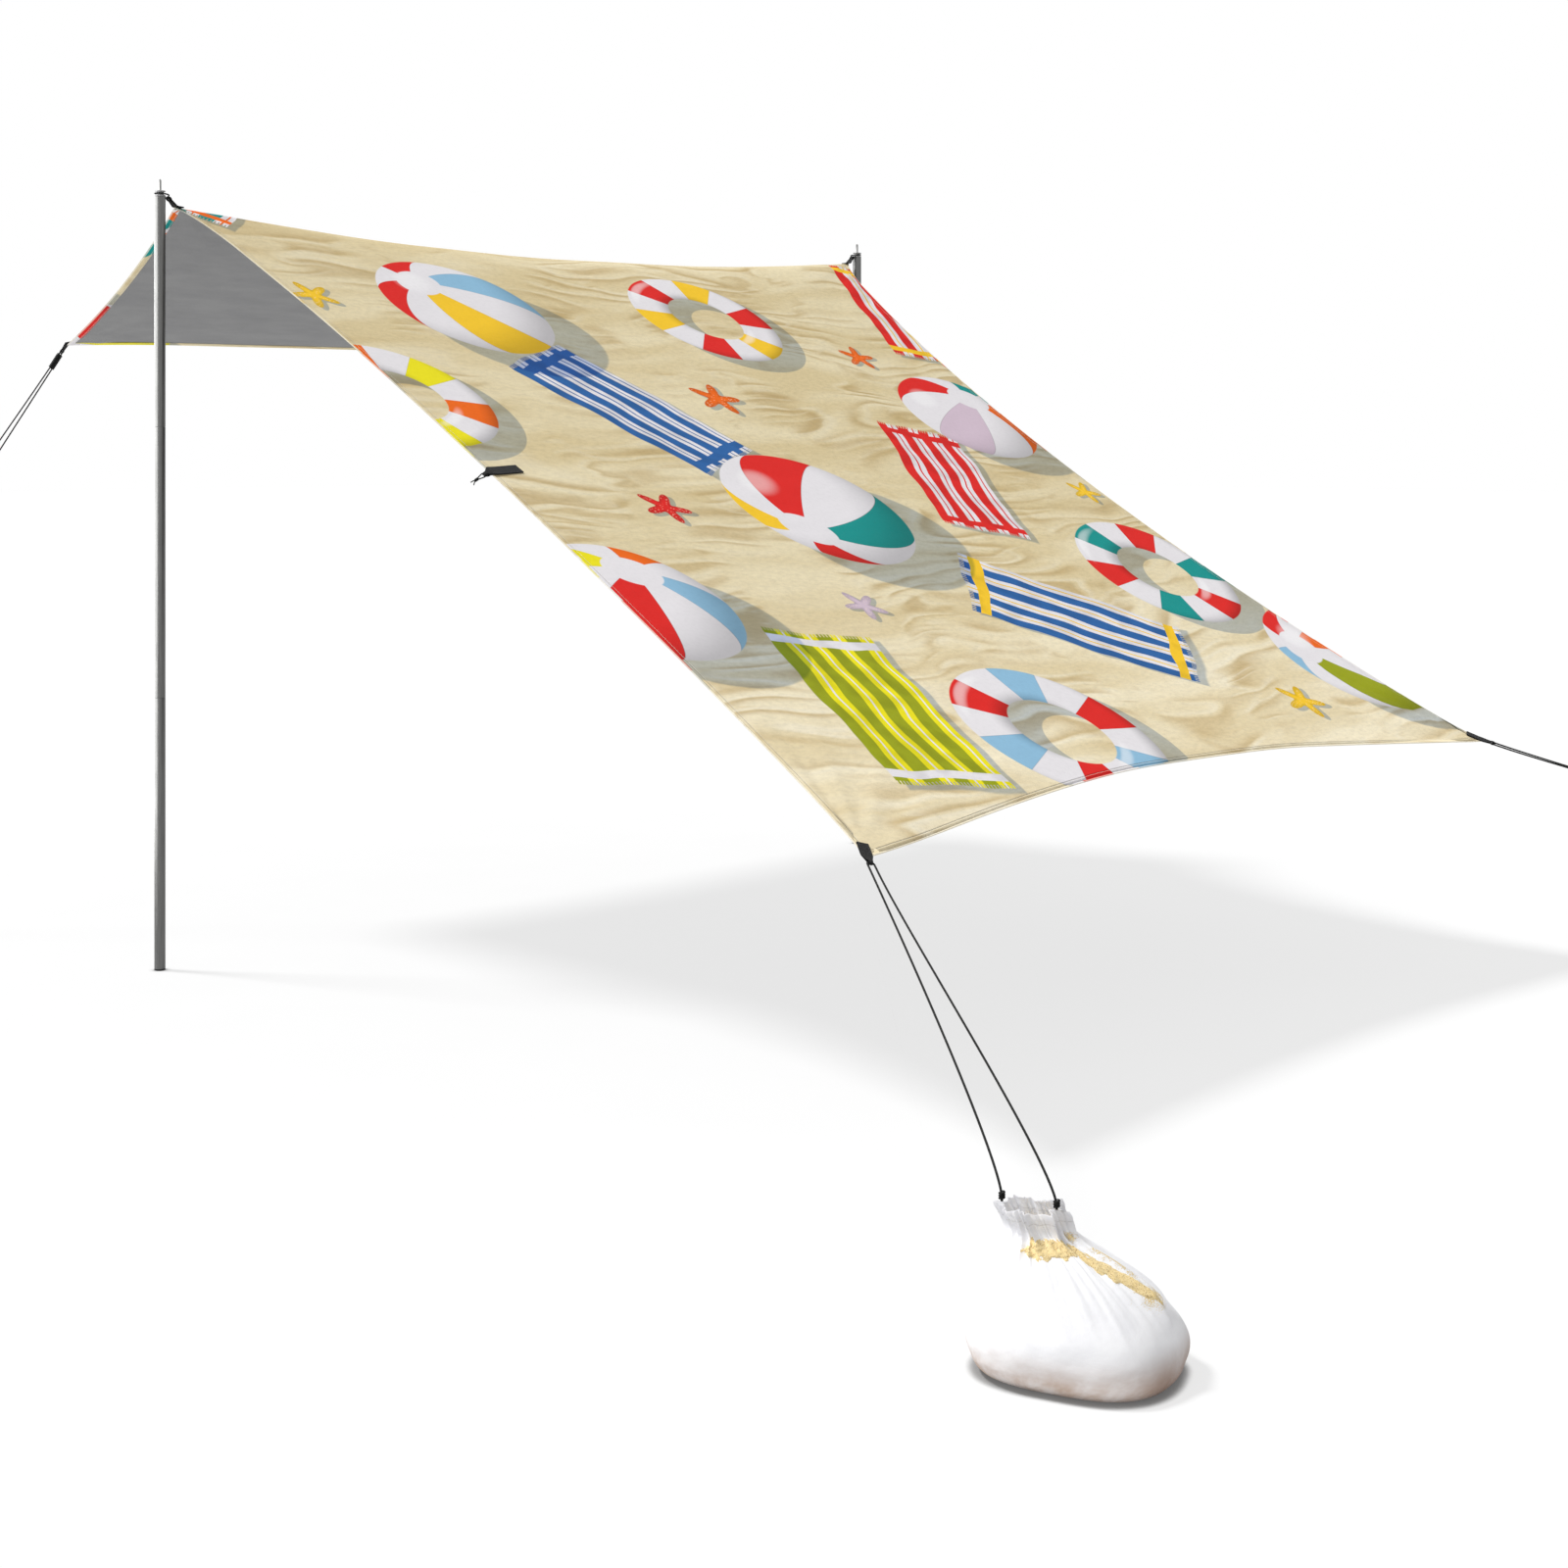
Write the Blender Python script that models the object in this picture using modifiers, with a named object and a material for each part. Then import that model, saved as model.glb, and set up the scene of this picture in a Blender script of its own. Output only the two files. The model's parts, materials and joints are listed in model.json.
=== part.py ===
"""Beach tent: one stretched sheet of cloth over two sectioned poles, held down by four drawstring
sandbags. X runs along the ridge, the front faces -Y, and the origin is on the ground at the middle of
everything that touches it. All values are in metres and degrees."""

import math

import bmesh
import bpy
from mathutils import Matrix, Vector

# Clearances between touching pieces
FIT_GAP = 0.0003
SEW_GAP = 0.0006
LONG_SEW_GAP = 0.0013

# Poles
POLE_HEIGHT = 2.0
TUBE_DIAMETER = 0.028
TUBE_WALL = 0.0012
LOWER_SECTION = 0.695
MIDDLE_SECTION = 0.695
FOOT_THICKNESS = 0.004
PLUG_LENGTH = 0.03
FERRULE_LENGTH = 0.1
FERRULE_WALL = 0.0015
FERRULE_CHAMFER = 0.0008
EDGE_RADIUS = 0.0006
CAP_HEAD = 0.003
CAP_GROOVE = 0.0085
CAP_NECK_DIAMETER = 0.02
SPIKE_DIAMETER = 0.0075
SPIKE_HEIGHT = 0.03
SPIKE_SEAT = 0.018
SHOCK_CORD_DIAMETER = 0.005
ROUND_SIDES = 24
WELD_DISTANCE = 0.00001

# Canopy cloth
CLOTH_THICKNESS = 0.002
RIDGE_WIDTH = 2.57
RIDGE_TO_POLE = 0.043
RIDGE_BELOW_POLE = 0.04
RIDGE_ROUNDING = 0.122
FRONT_WIDTH = 2.434
FRONT_DEPTH = 2.343
FRONT_CORNER_HEIGHT = 0.563
FRONT_EDGE_HOLLOW = 0.11
FRONT_SIDE_HOLLOW = 0.155
FRONT_BILLOW = 0.045
BACK_WIDTH = 2.256
BACK_DEPTH = 0.84
BACK_FALL = 0.324
BACK_EDGE_HOLLOW = 0.06
BACK_SIDE_HOLLOW = 0.015
BACK_BILLOW = 0.012
CLOTH_COLUMNS = 22
FRONT_ROWS = 17
BACK_ROWS = 7
SIDE_HOLLOW_SHARES = (0.65, 0.9)
EDGE_HOLLOW_SHARE = 1.35
ROW_CROWDING_SHARE = 1.25

# Webbing tabs
WEBBING_THICKNESS = 0.0016
TAB_WIDTH = 0.025
TAB_TAIL = 0.045
TAB_REACH = 0.026
TAB_EYE_WIDTH = 0.009
RIDGE_TAB_TAIL = 0.02
EYE_HALF_LENGTH = 0.0055
EYE_PLAY = 0.0008
LOOSE_EYE_PLAY = 0.002
SIDE_TAB_WIDTH = 0.032
SIDE_TAB_TAIL = 0.095
SIDE_TAB_REACH = 0.014
SIDE_TAB_DEPTH = 1.06
SIDE_TAB_SKEW = 7.0

# Cords
GUY_DIAMETER = 0.004
GUY_SPREAD = 0.0075
GUY_RISE = 0.06
GUY_DRAW = 0.25
GUY_POINTS = 9
TIE_DROP = 0.012
TIE_REACH = 0.025
TIE_LEVEL_RUN = 0.006
SIDE_CORD_DIAMETER = 0.003
SIDE_LOOP_LENGTH = 0.026
SIDE_LOOP_WIDTH = 0.013
SIDE_KNOT_DIAMETER = 0.008
SIDE_LOOP_DROOP = 32.0
CORD_BEVEL_RINGS = 2

# Sandbags
BAG_LENGTH = 0.33
BAG_WIDTH = 0.27
BAG_HEIGHT = 0.225
BAG_WALL = 0.003
BAG_LEAN = 0.076
BAG_SIDES = 24
SAND_GAP = 0.0006
# Each level is its share of the height and of the half length and half width
BAG_LEVEL_SHARES = (
    (0.0, 0.80), (0.07, 0.92), (0.24, 1.0), (0.45, 0.97), (0.62, 0.83),
    (0.74, 0.60), (0.82, 0.39), (0.89, 0.26), (1.0, 0.27),
)
SAND_LEVELS = 7
FRONT_BAG_OUT = 0.435
FRONT_BAG_DEPTH = 3.252
FRONT_BAG_TURN = 48.0
NEAR_BACK_BAG_OUT = 0.632
FAR_BACK_BAG_OUT = 1.222
BACK_BAG_DEPTH = 1.282

# Colours as red, green, blue, then roughness and metallic
FINISHES = {
    "canopy_cloth": ((0.78, 0.66, 0.42), 0.85, 0.0),
    "webbing": ((0.012, 0.012, 0.013), 0.8, 0.0),
    "guy_cord": ((0.03, 0.03, 0.03), 0.75, 0.0),
    "bag_cloth": ((0.86, 0.86, 0.87), 0.7, 0.0),
    "sand": ((0.72, 0.52, 0.26), 0.95, 0.0),
    "pole_tube": ((0.42, 0.42, 0.43), 0.35, 1.0),
    "ferrule": ((0.5, 0.5, 0.51), 0.3, 1.0),
    "pole_cap": ((0.35, 0.35, 0.36), 0.4, 1.0),
    "spike": ((0.6, 0.6, 0.61), 0.25, 1.0),
    "foot_plug": ((0.05, 0.05, 0.05), 0.7, 0.0),
    "shock_cord": ((0.7, 0.7, 0.7), 0.8, 0.0),
}

for old in list(bpy.data.objects):
    bpy.data.objects.remove(old, do_unlink=True)

tent = bpy.data.collections.new("beach_tent")
bpy.context.scene.collection.children.link(tent)
cutters = bpy.data.collections.new("beach_tent_cutters")
bpy.context.scene.collection.children.link(cutters)


def finish(obj, name):
    """Gives the object its own material in one of the finishes."""
    colour, roughness, metallic = FINISHES[name]
    material = bpy.data.materials.new(f"{obj.name}_{name}")
    material.use_nodes = True
    shader = material.node_tree.nodes["Principled BSDF"]
    shader.inputs["Base Color"].default_value = (*colour, 1.0)
    shader.inputs["Roughness"].default_value = roughness
    shader.inputs["Metallic"].default_value = metallic
    obj.data.materials.clear()
    obj.data.materials.append(material)


def add_mesh(name, shape, parent, looks, sharp=None):
    """Turns a bmesh into a named object of the tent."""
    bmesh.ops.recalc_face_normals(shape, faces=shape.faces)
    mesh = bpy.data.meshes.new(name)
    shape.to_mesh(mesh)
    shape.free()
    if sharp is not None:
        mesh.shade_smooth()
        mesh.set_sharp_from_angle(angle=math.radians(sharp))
    obj = bpy.data.objects.new(name, mesh)
    tent.objects.link(obj)
    obj.parent = parent
    finish(obj, looks)
    return obj


def add_empty(name, place, parent=None):
    """A joint's pivot, or the frame that carries the whole tent."""
    empty = bpy.data.objects.new(name, None)
    empty.location = place
    empty.parent = parent
    tent.objects.link(empty)
    return empty


def turned(name, profile, parent, place, looks):
    """A piece turned about the vertical from (radius, height) points that run down its outer side."""
    mesh = bpy.data.meshes.new(name)
    points = [(radius, 0.0, height) for radius, height in profile]
    closed = profile[0][0] > 0.0
    count = len(points)
    edges = [(i, i + 1) for i in range(count - 1)]
    if closed:
        edges.append((count - 1, 0))
    mesh.from_pydata(points, edges, [])
    obj = bpy.data.objects.new(name, mesh)
    tent.objects.link(obj)
    obj.parent = parent
    obj.location = place
    screw = obj.modifiers.new("turn", "SCREW")
    screw.steps = ROUND_SIDES
    screw.render_steps = ROUND_SIDES
    screw.use_merge_vertices = True
    screw.merge_threshold = WELD_DISTANCE
    screw.use_smooth_shade = True
    finish(obj, looks)
    return obj


def tube_profile(outer, wall, low, high, edge):
    """Outline of a tube wall with small chamfers at its outer ends, from the top down."""
    inner = outer - wall
    return [
        (inner, high),
        (outer - edge, high),
        (outer, high - edge),
        (outer, low + edge),
        (outer - edge, low),
        (inner, low),
    ]


def cord(name, points, diameter, parent, looks, cyclic=False):
    """A cord along its points, as a round tube."""
    curve = bpy.data.curves.new(name, "CURVE")
    curve.dimensions = "3D"
    curve.bevel_depth = diameter / 2
    curve.bevel_resolution = CORD_BEVEL_RINGS
    curve.use_fill_caps = True
    spline = curve.splines.new("POLY")
    spline.points.add(len(points) - 1)
    for spot, place in zip(spline.points, points):
        spot.co = (*place, 1.0)
    spline.use_cyclic_u = cyclic
    spline.use_smooth = True
    obj = bpy.data.objects.new(name, curve)
    tent.objects.link(obj)
    obj.parent = parent
    finish(obj, looks)
    return obj


def as_mesh(obj):
    """The same object with its curve made a welded mesh."""
    bpy.context.view_layer.update()
    graph = bpy.context.evaluated_depsgraph_get()
    mesh = bpy.data.meshes.new_from_object(obj.evaluated_get(graph))
    shape = bmesh.new()
    shape.from_mesh(mesh)
    bmesh.ops.remove_doubles(shape, verts=shape.verts, dist=WELD_DISTANCE)
    bmesh.ops.recalc_face_normals(shape, faces=shape.faces)
    shape.to_mesh(mesh)
    shape.free()
    name = obj.name
    solid = bpy.data.objects.new(name + "_mesh", mesh)
    tent.objects.link(solid)
    solid.parent = obj.parent
    solid.matrix_world = obj.matrix_world
    bpy.data.objects.remove(obj, do_unlink=True)
    solid.name = name
    return solid


def mix(a, b, share):
    return a + (b - a) * share


# Canopy
# The cloth hangs between the poles' tops. It is a height over the ground: two slopes that meet in a
# ridge, sharp at its tied ends and rounded between them, with hollow edges that the pull of the
# corners draws in.

RIDGE_END_HEIGHT = POLE_HEIGHT - RIDGE_BELOW_POLE
POLE_SPACING = RIDGE_WIDTH + 2 * RIDGE_TO_POLE
FRONT_SLOPE = (RIDGE_END_HEIGHT - FRONT_CORNER_HEIGHT) / FRONT_DEPTH
BACK_SLOPE = BACK_FALL / BACK_DEPTH
HOLLOW_START, HOLLOW_END = SIDE_HOLLOW_SHARES
HOLLOW_PEAK = HOLLOW_START / (HOLLOW_START + HOLLOW_END)


def side_hollow_share(down):
    """How hollow the front's side edge is at this share of its way down, 1 at its deepest."""
    deepest = HOLLOW_PEAK**HOLLOW_START * (1 - HOLLOW_PEAK) ** HOLLOW_END
    return down**HOLLOW_START * (1 - down) ** HOLLOW_END / deepest


def half_width(y):
    """Half the cloth's width at this distance from the ridge."""
    if y < 0:
        down = min(-y / FRONT_DEPTH, 1.0)
        return mix(RIDGE_WIDTH, FRONT_WIDTH, down) / 2 - FRONT_SIDE_HOLLOW * side_hollow_share(down)
    down = min(y / BACK_DEPTH, 1.0)
    return mix(RIDGE_WIDTH, BACK_WIDTH, down) / 2 - BACK_SIDE_HOLLOW * 4 * down * (1 - down)


def cloth_height(x, y):
    """Height of the cloth's middle layer over a point of the ground."""
    across = min(abs(x) / half_width(y), 1.0)
    rounding = RIDGE_ROUNDING * (1 - across**2)
    fall = (FRONT_SLOPE + BACK_SLOPE) / 2 * math.hypot(y, rounding) - (FRONT_SLOPE - BACK_SLOPE) / 2 * y
    if y < 0:
        down = min(-y / FRONT_DEPTH, 1.0)
        billow = FRONT_BILLOW * 4 * down * (1 - down)
    else:
        down = min(y / BACK_DEPTH, 1.0)
        billow = BACK_BILLOW * 4 * down * (1 - down)
    return RIDGE_END_HEIGHT - fall - billow


def cloth_point(x, y):
    return Vector((x, y, cloth_height(x, y)))


def cloth_normal(x, y):
    """Upward normal of the cloth, measured a webbing's width apart."""
    step = TAB_WIDTH / 4
    along = cloth_point(x + step, y) - cloth_point(x - step, y)
    back = cloth_point(x, y + step) - cloth_point(x, y - step)
    return along.cross(back).normalized()


def make_canopy(parent):
    rows = FRONT_ROWS + BACK_ROWS
    shape = bmesh.new()
    bmesh.ops.create_grid(shape, x_segments=CLOTH_COLUMNS, y_segments=rows, size=1.0)
    ridge_row = 2 * FRONT_ROWS / rows - 1
    for vert in shape.verts:
        across, row = vert.co.x, vert.co.y
        if row < ridge_row:
            down = max(ridge_row - row, 0.0) / (ridge_row + 1)
            down = down**ROW_CROWDING_SHARE
            hollow = FRONT_EDGE_HOLLOW * (1 - across**2) ** EDGE_HOLLOW_SHARE
            y = -down * (FRONT_DEPTH - hollow * down)
        else:
            down = (row - ridge_row) / (1 - ridge_row)
            hollow = BACK_EDGE_HOLLOW * (1 - across**2)
            y = down * (BACK_DEPTH - hollow * down)
        x = across * half_width(y)
        vert.co = (x, y, cloth_height(x, y))
    obj = add_mesh("canopy", shape, parent, "canopy_cloth", sharp=60)
    wall = obj.modifiers.new("cloth", "SOLIDIFY")
    wall.thickness = CLOTH_THICKNESS
    wall.offset = 0.0
    return obj


# Webbing tabs
# Each is a strap sewn on the cloth and folded back on itself, with an eye at its fold that a cord
# passes through. It narrows towards the eye, where the cord gathers it.


def eye_frame(anchor, normal, pull):
    """Axes of a strap: along its pull, up from the cloth, and across its width."""
    along = (pull - normal * pull.dot(normal)).normalized()
    across = along.cross(normal).normalized()
    return along, across


def make_strap(name, anchor, normal, pull, tail, reach, width, gap, eye_height, parent):
    """Returns the middle of the strap's eye and the direction across the strap."""
    along, across = eye_frame(anchor, normal, pull)
    thickness = 2 * WEBBING_THICKNESS
    lift = CLOTH_THICKNESS / 2 + gap + thickness / 2
    hole_height = eye_height / 2
    hole_length = EYE_HALF_LENGTH
    rise = math.atan2(pull.dot(normal), pull.dot(along))
    sewn = []
    for step in (3, 2, 1):
        run = -tail * step / 3
        under = anchor + along * run
        clear = (cloth_height(under.x, under.y) - under.z) * normal.z
        sewn.append((run, clear + lift))
    sewn.append((0.0, lift))
    eye = Vector((math.cos(rise), math.sin(rise))) * reach + Vector((0.0, lift))
    turn = Matrix.Rotation(rise, 2)
    outer = []
    for step in range(13):
        angle = math.radians(-150 + 25 * step)
        far = Vector(
            (
                (hole_length + WEBBING_THICKNESS) * math.cos(angle),
                (hole_height + WEBBING_THICKNESS) * math.sin(angle),
            )
        )
        outer.append(eye + turn @ far)
    under_side = [Vector((run, high - thickness / 2)) for run, high in sewn]
    upper_side = [Vector((run, high + thickness / 2)) for run, high in reversed(sewn)]
    outline = under_side + outer + upper_side
    hole = []
    for step in range(12):
        angle = math.radians(30 * step)
        far = Vector((hole_length * math.cos(angle), hole_height * math.sin(angle)))
        hole.append(eye + turn @ far)
    curve = bpy.data.curves.new(name, "CURVE")
    curve.dimensions = "2D"
    curve.fill_mode = "BOTH"
    curve.extrude = width / 2
    for loop in (outline, hole):
        spline = curve.splines.new("POLY")
        spline.points.add(len(loop) - 1)
        for spot, place in zip(spline.points, loop):
            spot.co = (place.x, place.y, 0.0, 1.0)
        spline.use_cyclic_u = True
    flat = bpy.data.objects.new(name, curve)
    tent.objects.link(flat)
    flat.parent = parent
    solid = as_mesh(flat)
    for vert in solid.data.vertices:
        share = min(max(vert.co.x / (reach * math.cos(rise)), 0.0), 1.0)
        vert.co.z *= mix(1.0, TAB_EYE_WIDTH / width, share)
    axes = Matrix((along, normal, across)).transposed().to_4x4()
    solid.matrix_parent_inverse = Matrix()
    solid.matrix_basis = Matrix.Translation(anchor) @ axes
    finish(solid, "webbing")
    return anchor + along * eye.x + normal * eye.y, across


# Cords


def eye_turn(eye, pull, across, spread):
    """The cord's half turn through an eye, its middle at the eye and its ends towards the pull."""
    points = []
    for step in range(9):
        angle = math.radians(-90 + 22.5 * step)
        side = across * spread * math.sin(angle)
        points.append(eye + side + pull * spread * (1 - math.cos(angle)))
    return points


def bent(start, start_pull, end, end_pull, count):
    """Points of a smooth bend between two ends, closer together near the start."""
    points = []
    for step in range(count):
        share = (step / count) ** 1.6
        rest = 1 - share
        points.append(
            start * rest**3
            + start_pull * 3 * rest**2 * share
            + end_pull * 3 * rest * share**2
            + end * share**3
        )
    return points


def make_guy(name, rims, eye, across, parent):
    """One unbroken cord from a corner of the bag's mouth, through the tab's eye, to the other corner."""
    pull = ((rims[0] + rims[1]) / 2 - eye).normalized()
    turn = eye_turn(eye, pull, across, GUY_SPREAD)
    crossed = (rims[1] - rims[0]).dot(across) < 0
    first, second = (rims[1], rims[0]) if crossed else (rims[0], rims[1])
    straight_end = Vector((0.0, 0.0, GUY_DIAMETER))
    up = Vector((0.0, 0.0, GUY_RISE))
    draw = pull * GUY_DRAW
    sides = []
    for rim, top in ((first, turn[0]), (second, turn[-1])):
        start = rim + straight_end
        sides.append([rim] + bent(start, start + up, top, top + draw, GUY_POINTS))
    cord(name, sides[0] + turn + sides[1][::-1], GUY_DIAMETER, parent, "guy_cord")


# Sandbags


def bag_ring(level, inset):
    """Half length, half width, lean and height of the bag's skin at one of its levels."""
    up, out = level
    return (
        BAG_LENGTH / 2 * out - inset,
        BAG_WIDTH / 2 * out - inset,
        BAG_LEAN * up**1.5,
        BAG_HEIGHT * up,
    )


def add_ring(shape, ring):
    """One closed ring of the bag, as a list of its vertices."""
    half_length, half_width, lean, height = ring
    made = bmesh.ops.create_circle(shape, segments=BAG_SIDES, radius=1.0)
    for vert in made["verts"]:
        vert.co = (vert.co.x * half_length + lean, vert.co.y * half_width, height)
    return made["verts"]


def bag_skin(levels):
    """A bag lofted from ring to ring, with its two end rings filled."""
    shape = bmesh.new()
    rings = [add_ring(shape, level) for level in levels]
    for lower, upper in zip(rings[:-1], rings[1:]):
        for i in range(BAG_SIDES):
            j = (i + 1) % BAG_SIDES
            shape.faces.new((lower[i], lower[j], upper[j], upper[i]))
    shape.faces.new(rings[0])
    shape.faces.new(rings[-1])
    return shape


def make_bag(name, frame, turn, parent):
    outer = [bag_ring(level, 0.0) for level in BAG_LEVEL_SHARES]
    inner = [bag_ring(level, BAG_WALL) for level in BAG_LEVEL_SHARES]
    inner[0] = (*inner[0][:3], BAG_WALL)
    skin = add_mesh(f"{name}_sand_bag", bag_skin(outer + inner[::-1]), parent, "bag_cloth", sharp=50)
    filling = [bag_ring(level, BAG_WALL + SAND_GAP) for level in BAG_LEVEL_SHARES[:SAND_LEVELS]]
    filling[0] = (*filling[0][:3], BAG_WALL + SAND_GAP)
    sand = add_mesh(f"{name}_sand_fill", bag_skin(filling), parent, "sand", sharp=50)
    for obj in (skin, sand):
        obj.location = frame
        obj.rotation_euler = (0.0, 0.0, turn)


# Poles

TUBE_RADIUS = TUBE_DIAMETER / 2
TUBE_BORE = TUBE_RADIUS - TUBE_WALL
UPPER_SECTION_TOP = POLE_HEIGHT - CAP_HEAD - CAP_GROOVE
LOWER_JOINT = FOOT_THICKNESS + LOWER_SECTION
UPPER_JOINT = LOWER_JOINT + MIDDLE_SECTION
GROOVE_HEIGHT = UPPER_SECTION_TOP + CAP_GROOVE / 2


def make_pole(side, x, parent, bodies):
    """One pole. Its pieces hang on empties that stand on the joints' axes."""
    upper, middle, lower = bodies
    plug = TUBE_BORE - FIT_GAP
    neck = CAP_NECK_DIAMETER / 2
    spike = SPIKE_DIAMETER / 2
    groove_floor = UPPER_SECTION_TOP
    groove_roof = groove_floor + CAP_GROOVE
    sections = (
        (f"{side}_pole_upper_tube", upper, UPPER_JOINT, UPPER_SECTION_TOP - CAP_HEAD),
        (f"{side}_pole_middle_tube", middle, LOWER_JOINT, UPPER_JOINT - FIT_GAP),
        (f"{side}_pole_lower_tube", lower, FOOT_THICKNESS, LOWER_JOINT - FIT_GAP),
    )
    for name, body, low, high in sections:
        profile = tube_profile(TUBE_RADIUS, TUBE_WALL, low, high, EDGE_RADIUS)
        turned(name, profile, body, -body_place(body) + Vector((x, 0.0, 0.0)), "pole_tube")
    for name, body, joint in (
        (f"{side}_upper_ferrule", upper, UPPER_JOINT),
        (f"{side}_lower_ferrule", middle, LOWER_JOINT),
    ):
        profile = tube_profile(
            plug, FERRULE_WALL, joint - FERRULE_LENGTH / 2, joint + FERRULE_LENGTH / 2, FERRULE_CHAMFER
        )
        turned(name, profile, body, -body_place(body) + Vector((x, 0.0, 0.0)), "ferrule")
    collar = groove_floor - CAP_HEAD + FIT_GAP
    cap = [
        (spike + FIT_GAP, POLE_HEIGHT),
        (TUBE_RADIUS - EDGE_RADIUS, POLE_HEIGHT),
        (TUBE_RADIUS, POLE_HEIGHT - EDGE_RADIUS),
        (TUBE_RADIUS, groove_roof),
        (neck, groove_roof),
        (neck, groove_floor),
        (TUBE_RADIUS, groove_floor),
        (TUBE_RADIUS, collar),
        (plug, collar),
        (plug, groove_floor - PLUG_LENGTH),
        (0.0, groove_floor - PLUG_LENGTH),
        (0.0, POLE_HEIGHT - SPIKE_SEAT - FIT_GAP),
        (spike + FIT_GAP, POLE_HEIGHT - SPIKE_SEAT - FIT_GAP),
    ]
    place = -body_place(upper) + Vector((x, 0.0, 0.0))
    turned_ring(f"{side}_pole_cap", cap, upper, place, "pole_cap")
    tip = POLE_HEIGHT + SPIKE_HEIGHT
    pin = [
        (0.0, tip),
        (spike / 2, tip - spike / 8),
        (spike, tip - spike),
        (spike, POLE_HEIGHT - SPIKE_SEAT),
        (0.0, POLE_HEIGHT - SPIKE_SEAT),
    ]
    turned(f"{side}_pole_spike", pin, upper, place, "spike")
    foot_place = -body_place(lower) + Vector((x, 0.0, 0.0))
    foot = [
        (0.0, PLUG_LENGTH),
        (plug, PLUG_LENGTH),
        (plug, FOOT_THICKNESS - FIT_GAP),
        (TUBE_RADIUS, FOOT_THICKNESS - FIT_GAP),
        (TUBE_RADIUS, EDGE_RADIUS),
        (TUBE_RADIUS - EDGE_RADIUS, 0.0),
        (0.0, 0.0),
    ]
    turned(f"{side}_pole_foot", foot, lower, foot_place, "foot_plug")
    inside = SHOCK_CORD_DIAMETER / 2
    low, high = PLUG_LENGTH + FIT_GAP, groove_floor - PLUG_LENGTH - FIT_GAP
    core = [(0.0, high), (inside, high), (inside, low), (0.0, low)]
    turned(f"{side}_shock_cord", core, upper, place, "shock_cord")


def turned_ring(name, profile, parent, place, looks):
    """A turned piece whose outline starts off the axis and touches it further down."""
    touches = [i for i, (radius, _) in enumerate(profile) if radius == 0.0]
    start = touches[-1]
    return turned(name, profile[start:] + profile[:start], parent, place, looks)


def body_place(body):
    """A pivot's place in the tent's own frame."""
    place = Vector(body.location)
    while body.parent is not None and body.parent.parent is not None:
        body = body.parent
        place += Vector(body.location)
    return place


def make_ridge_end(side, sign, root):
    """The ridge tab, the tie that loops round the pole's neck, and the pole that hangs on it."""
    x = sign * POLE_SPACING / 2
    neck = Vector((x, 0.0, GROOVE_HEIGHT))
    apex = cloth_point(sign * RIDGE_WIDTH / 2, 0.0)
    eye_place = neck - Vector((sign * TIE_REACH, 0.0, TIE_DROP))
    inboard = cloth_point(sign * (RIDGE_WIDTH / 2 - RIDGE_TAB_TAIL), 0.0)
    ridge_run = (apex - inboard).normalized()
    normal = ridge_run.cross(Vector((0.0, 1.0, 0.0)))
    if normal.z < 0:
        normal = -normal
    lift = CLOTH_THICKNESS / 2 + SEW_GAP + WEBBING_THICKNESS
    start = apex + normal * lift
    pull = eye_place - start
    eye, across = make_strap(
        f"{side}_ridge_tab", apex, normal, pull.normalized(), RIDGE_TAB_TAIL, pull.length,
        TAB_WIDTH, SEW_GAP, GUY_DIAMETER + 2 * LOOSE_EYE_PLAY, root,
    )
    lean = add_empty(f"{side}_pole_lean_pivot", eye, root)
    tilt = add_empty(f"{side}_pole_tilt_pivot", neck - eye, lean)
    middle = add_empty(f"{side}_middle_section_pivot", Vector((0.0, 0.0, UPPER_JOINT - neck.z)), tilt)
    lower = add_empty(f"{side}_lower_section_pivot", Vector((0.0, 0.0, LOWER_JOINT - UPPER_JOINT)), middle)
    make_pole(side, x, root, (tilt, middle, lower))
    ring = CAP_NECK_DIAMETER / 2 + FIT_GAP + GUY_DIAMETER / 2
    pull_back = (neck - eye).normalized()
    points = []
    for point in eye_turn(eye, pull_back, across, GUY_SPREAD):
        points.append(point - eye)
    side_sign = 1.0 if points[-1].y > 0 else -1.0
    leave = neck - eye - Vector((sign * (TUBE_RADIUS + TIE_LEVEL_RUN), 0.0, 0.0))
    points.append(leave + Vector((0.0, side_sign * mix(GUY_SPREAD, ring, 0.5), -TIE_DROP / 4)))
    for step in range(13):
        angle = math.radians(75 + 17.5 * step)
        points.append(
            neck - eye + Vector((-sign * ring * math.cos(angle), side_sign * ring * math.sin(angle), 0.0))
        )
    points.append(leave + Vector((0.0, -side_sign * mix(GUY_SPREAD, ring, 0.5), -TIE_DROP / 4)))
    cord(f"{side}_spike_loop", points, GUY_DIAMETER, lean, "guy_cord", cyclic=True)


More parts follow.
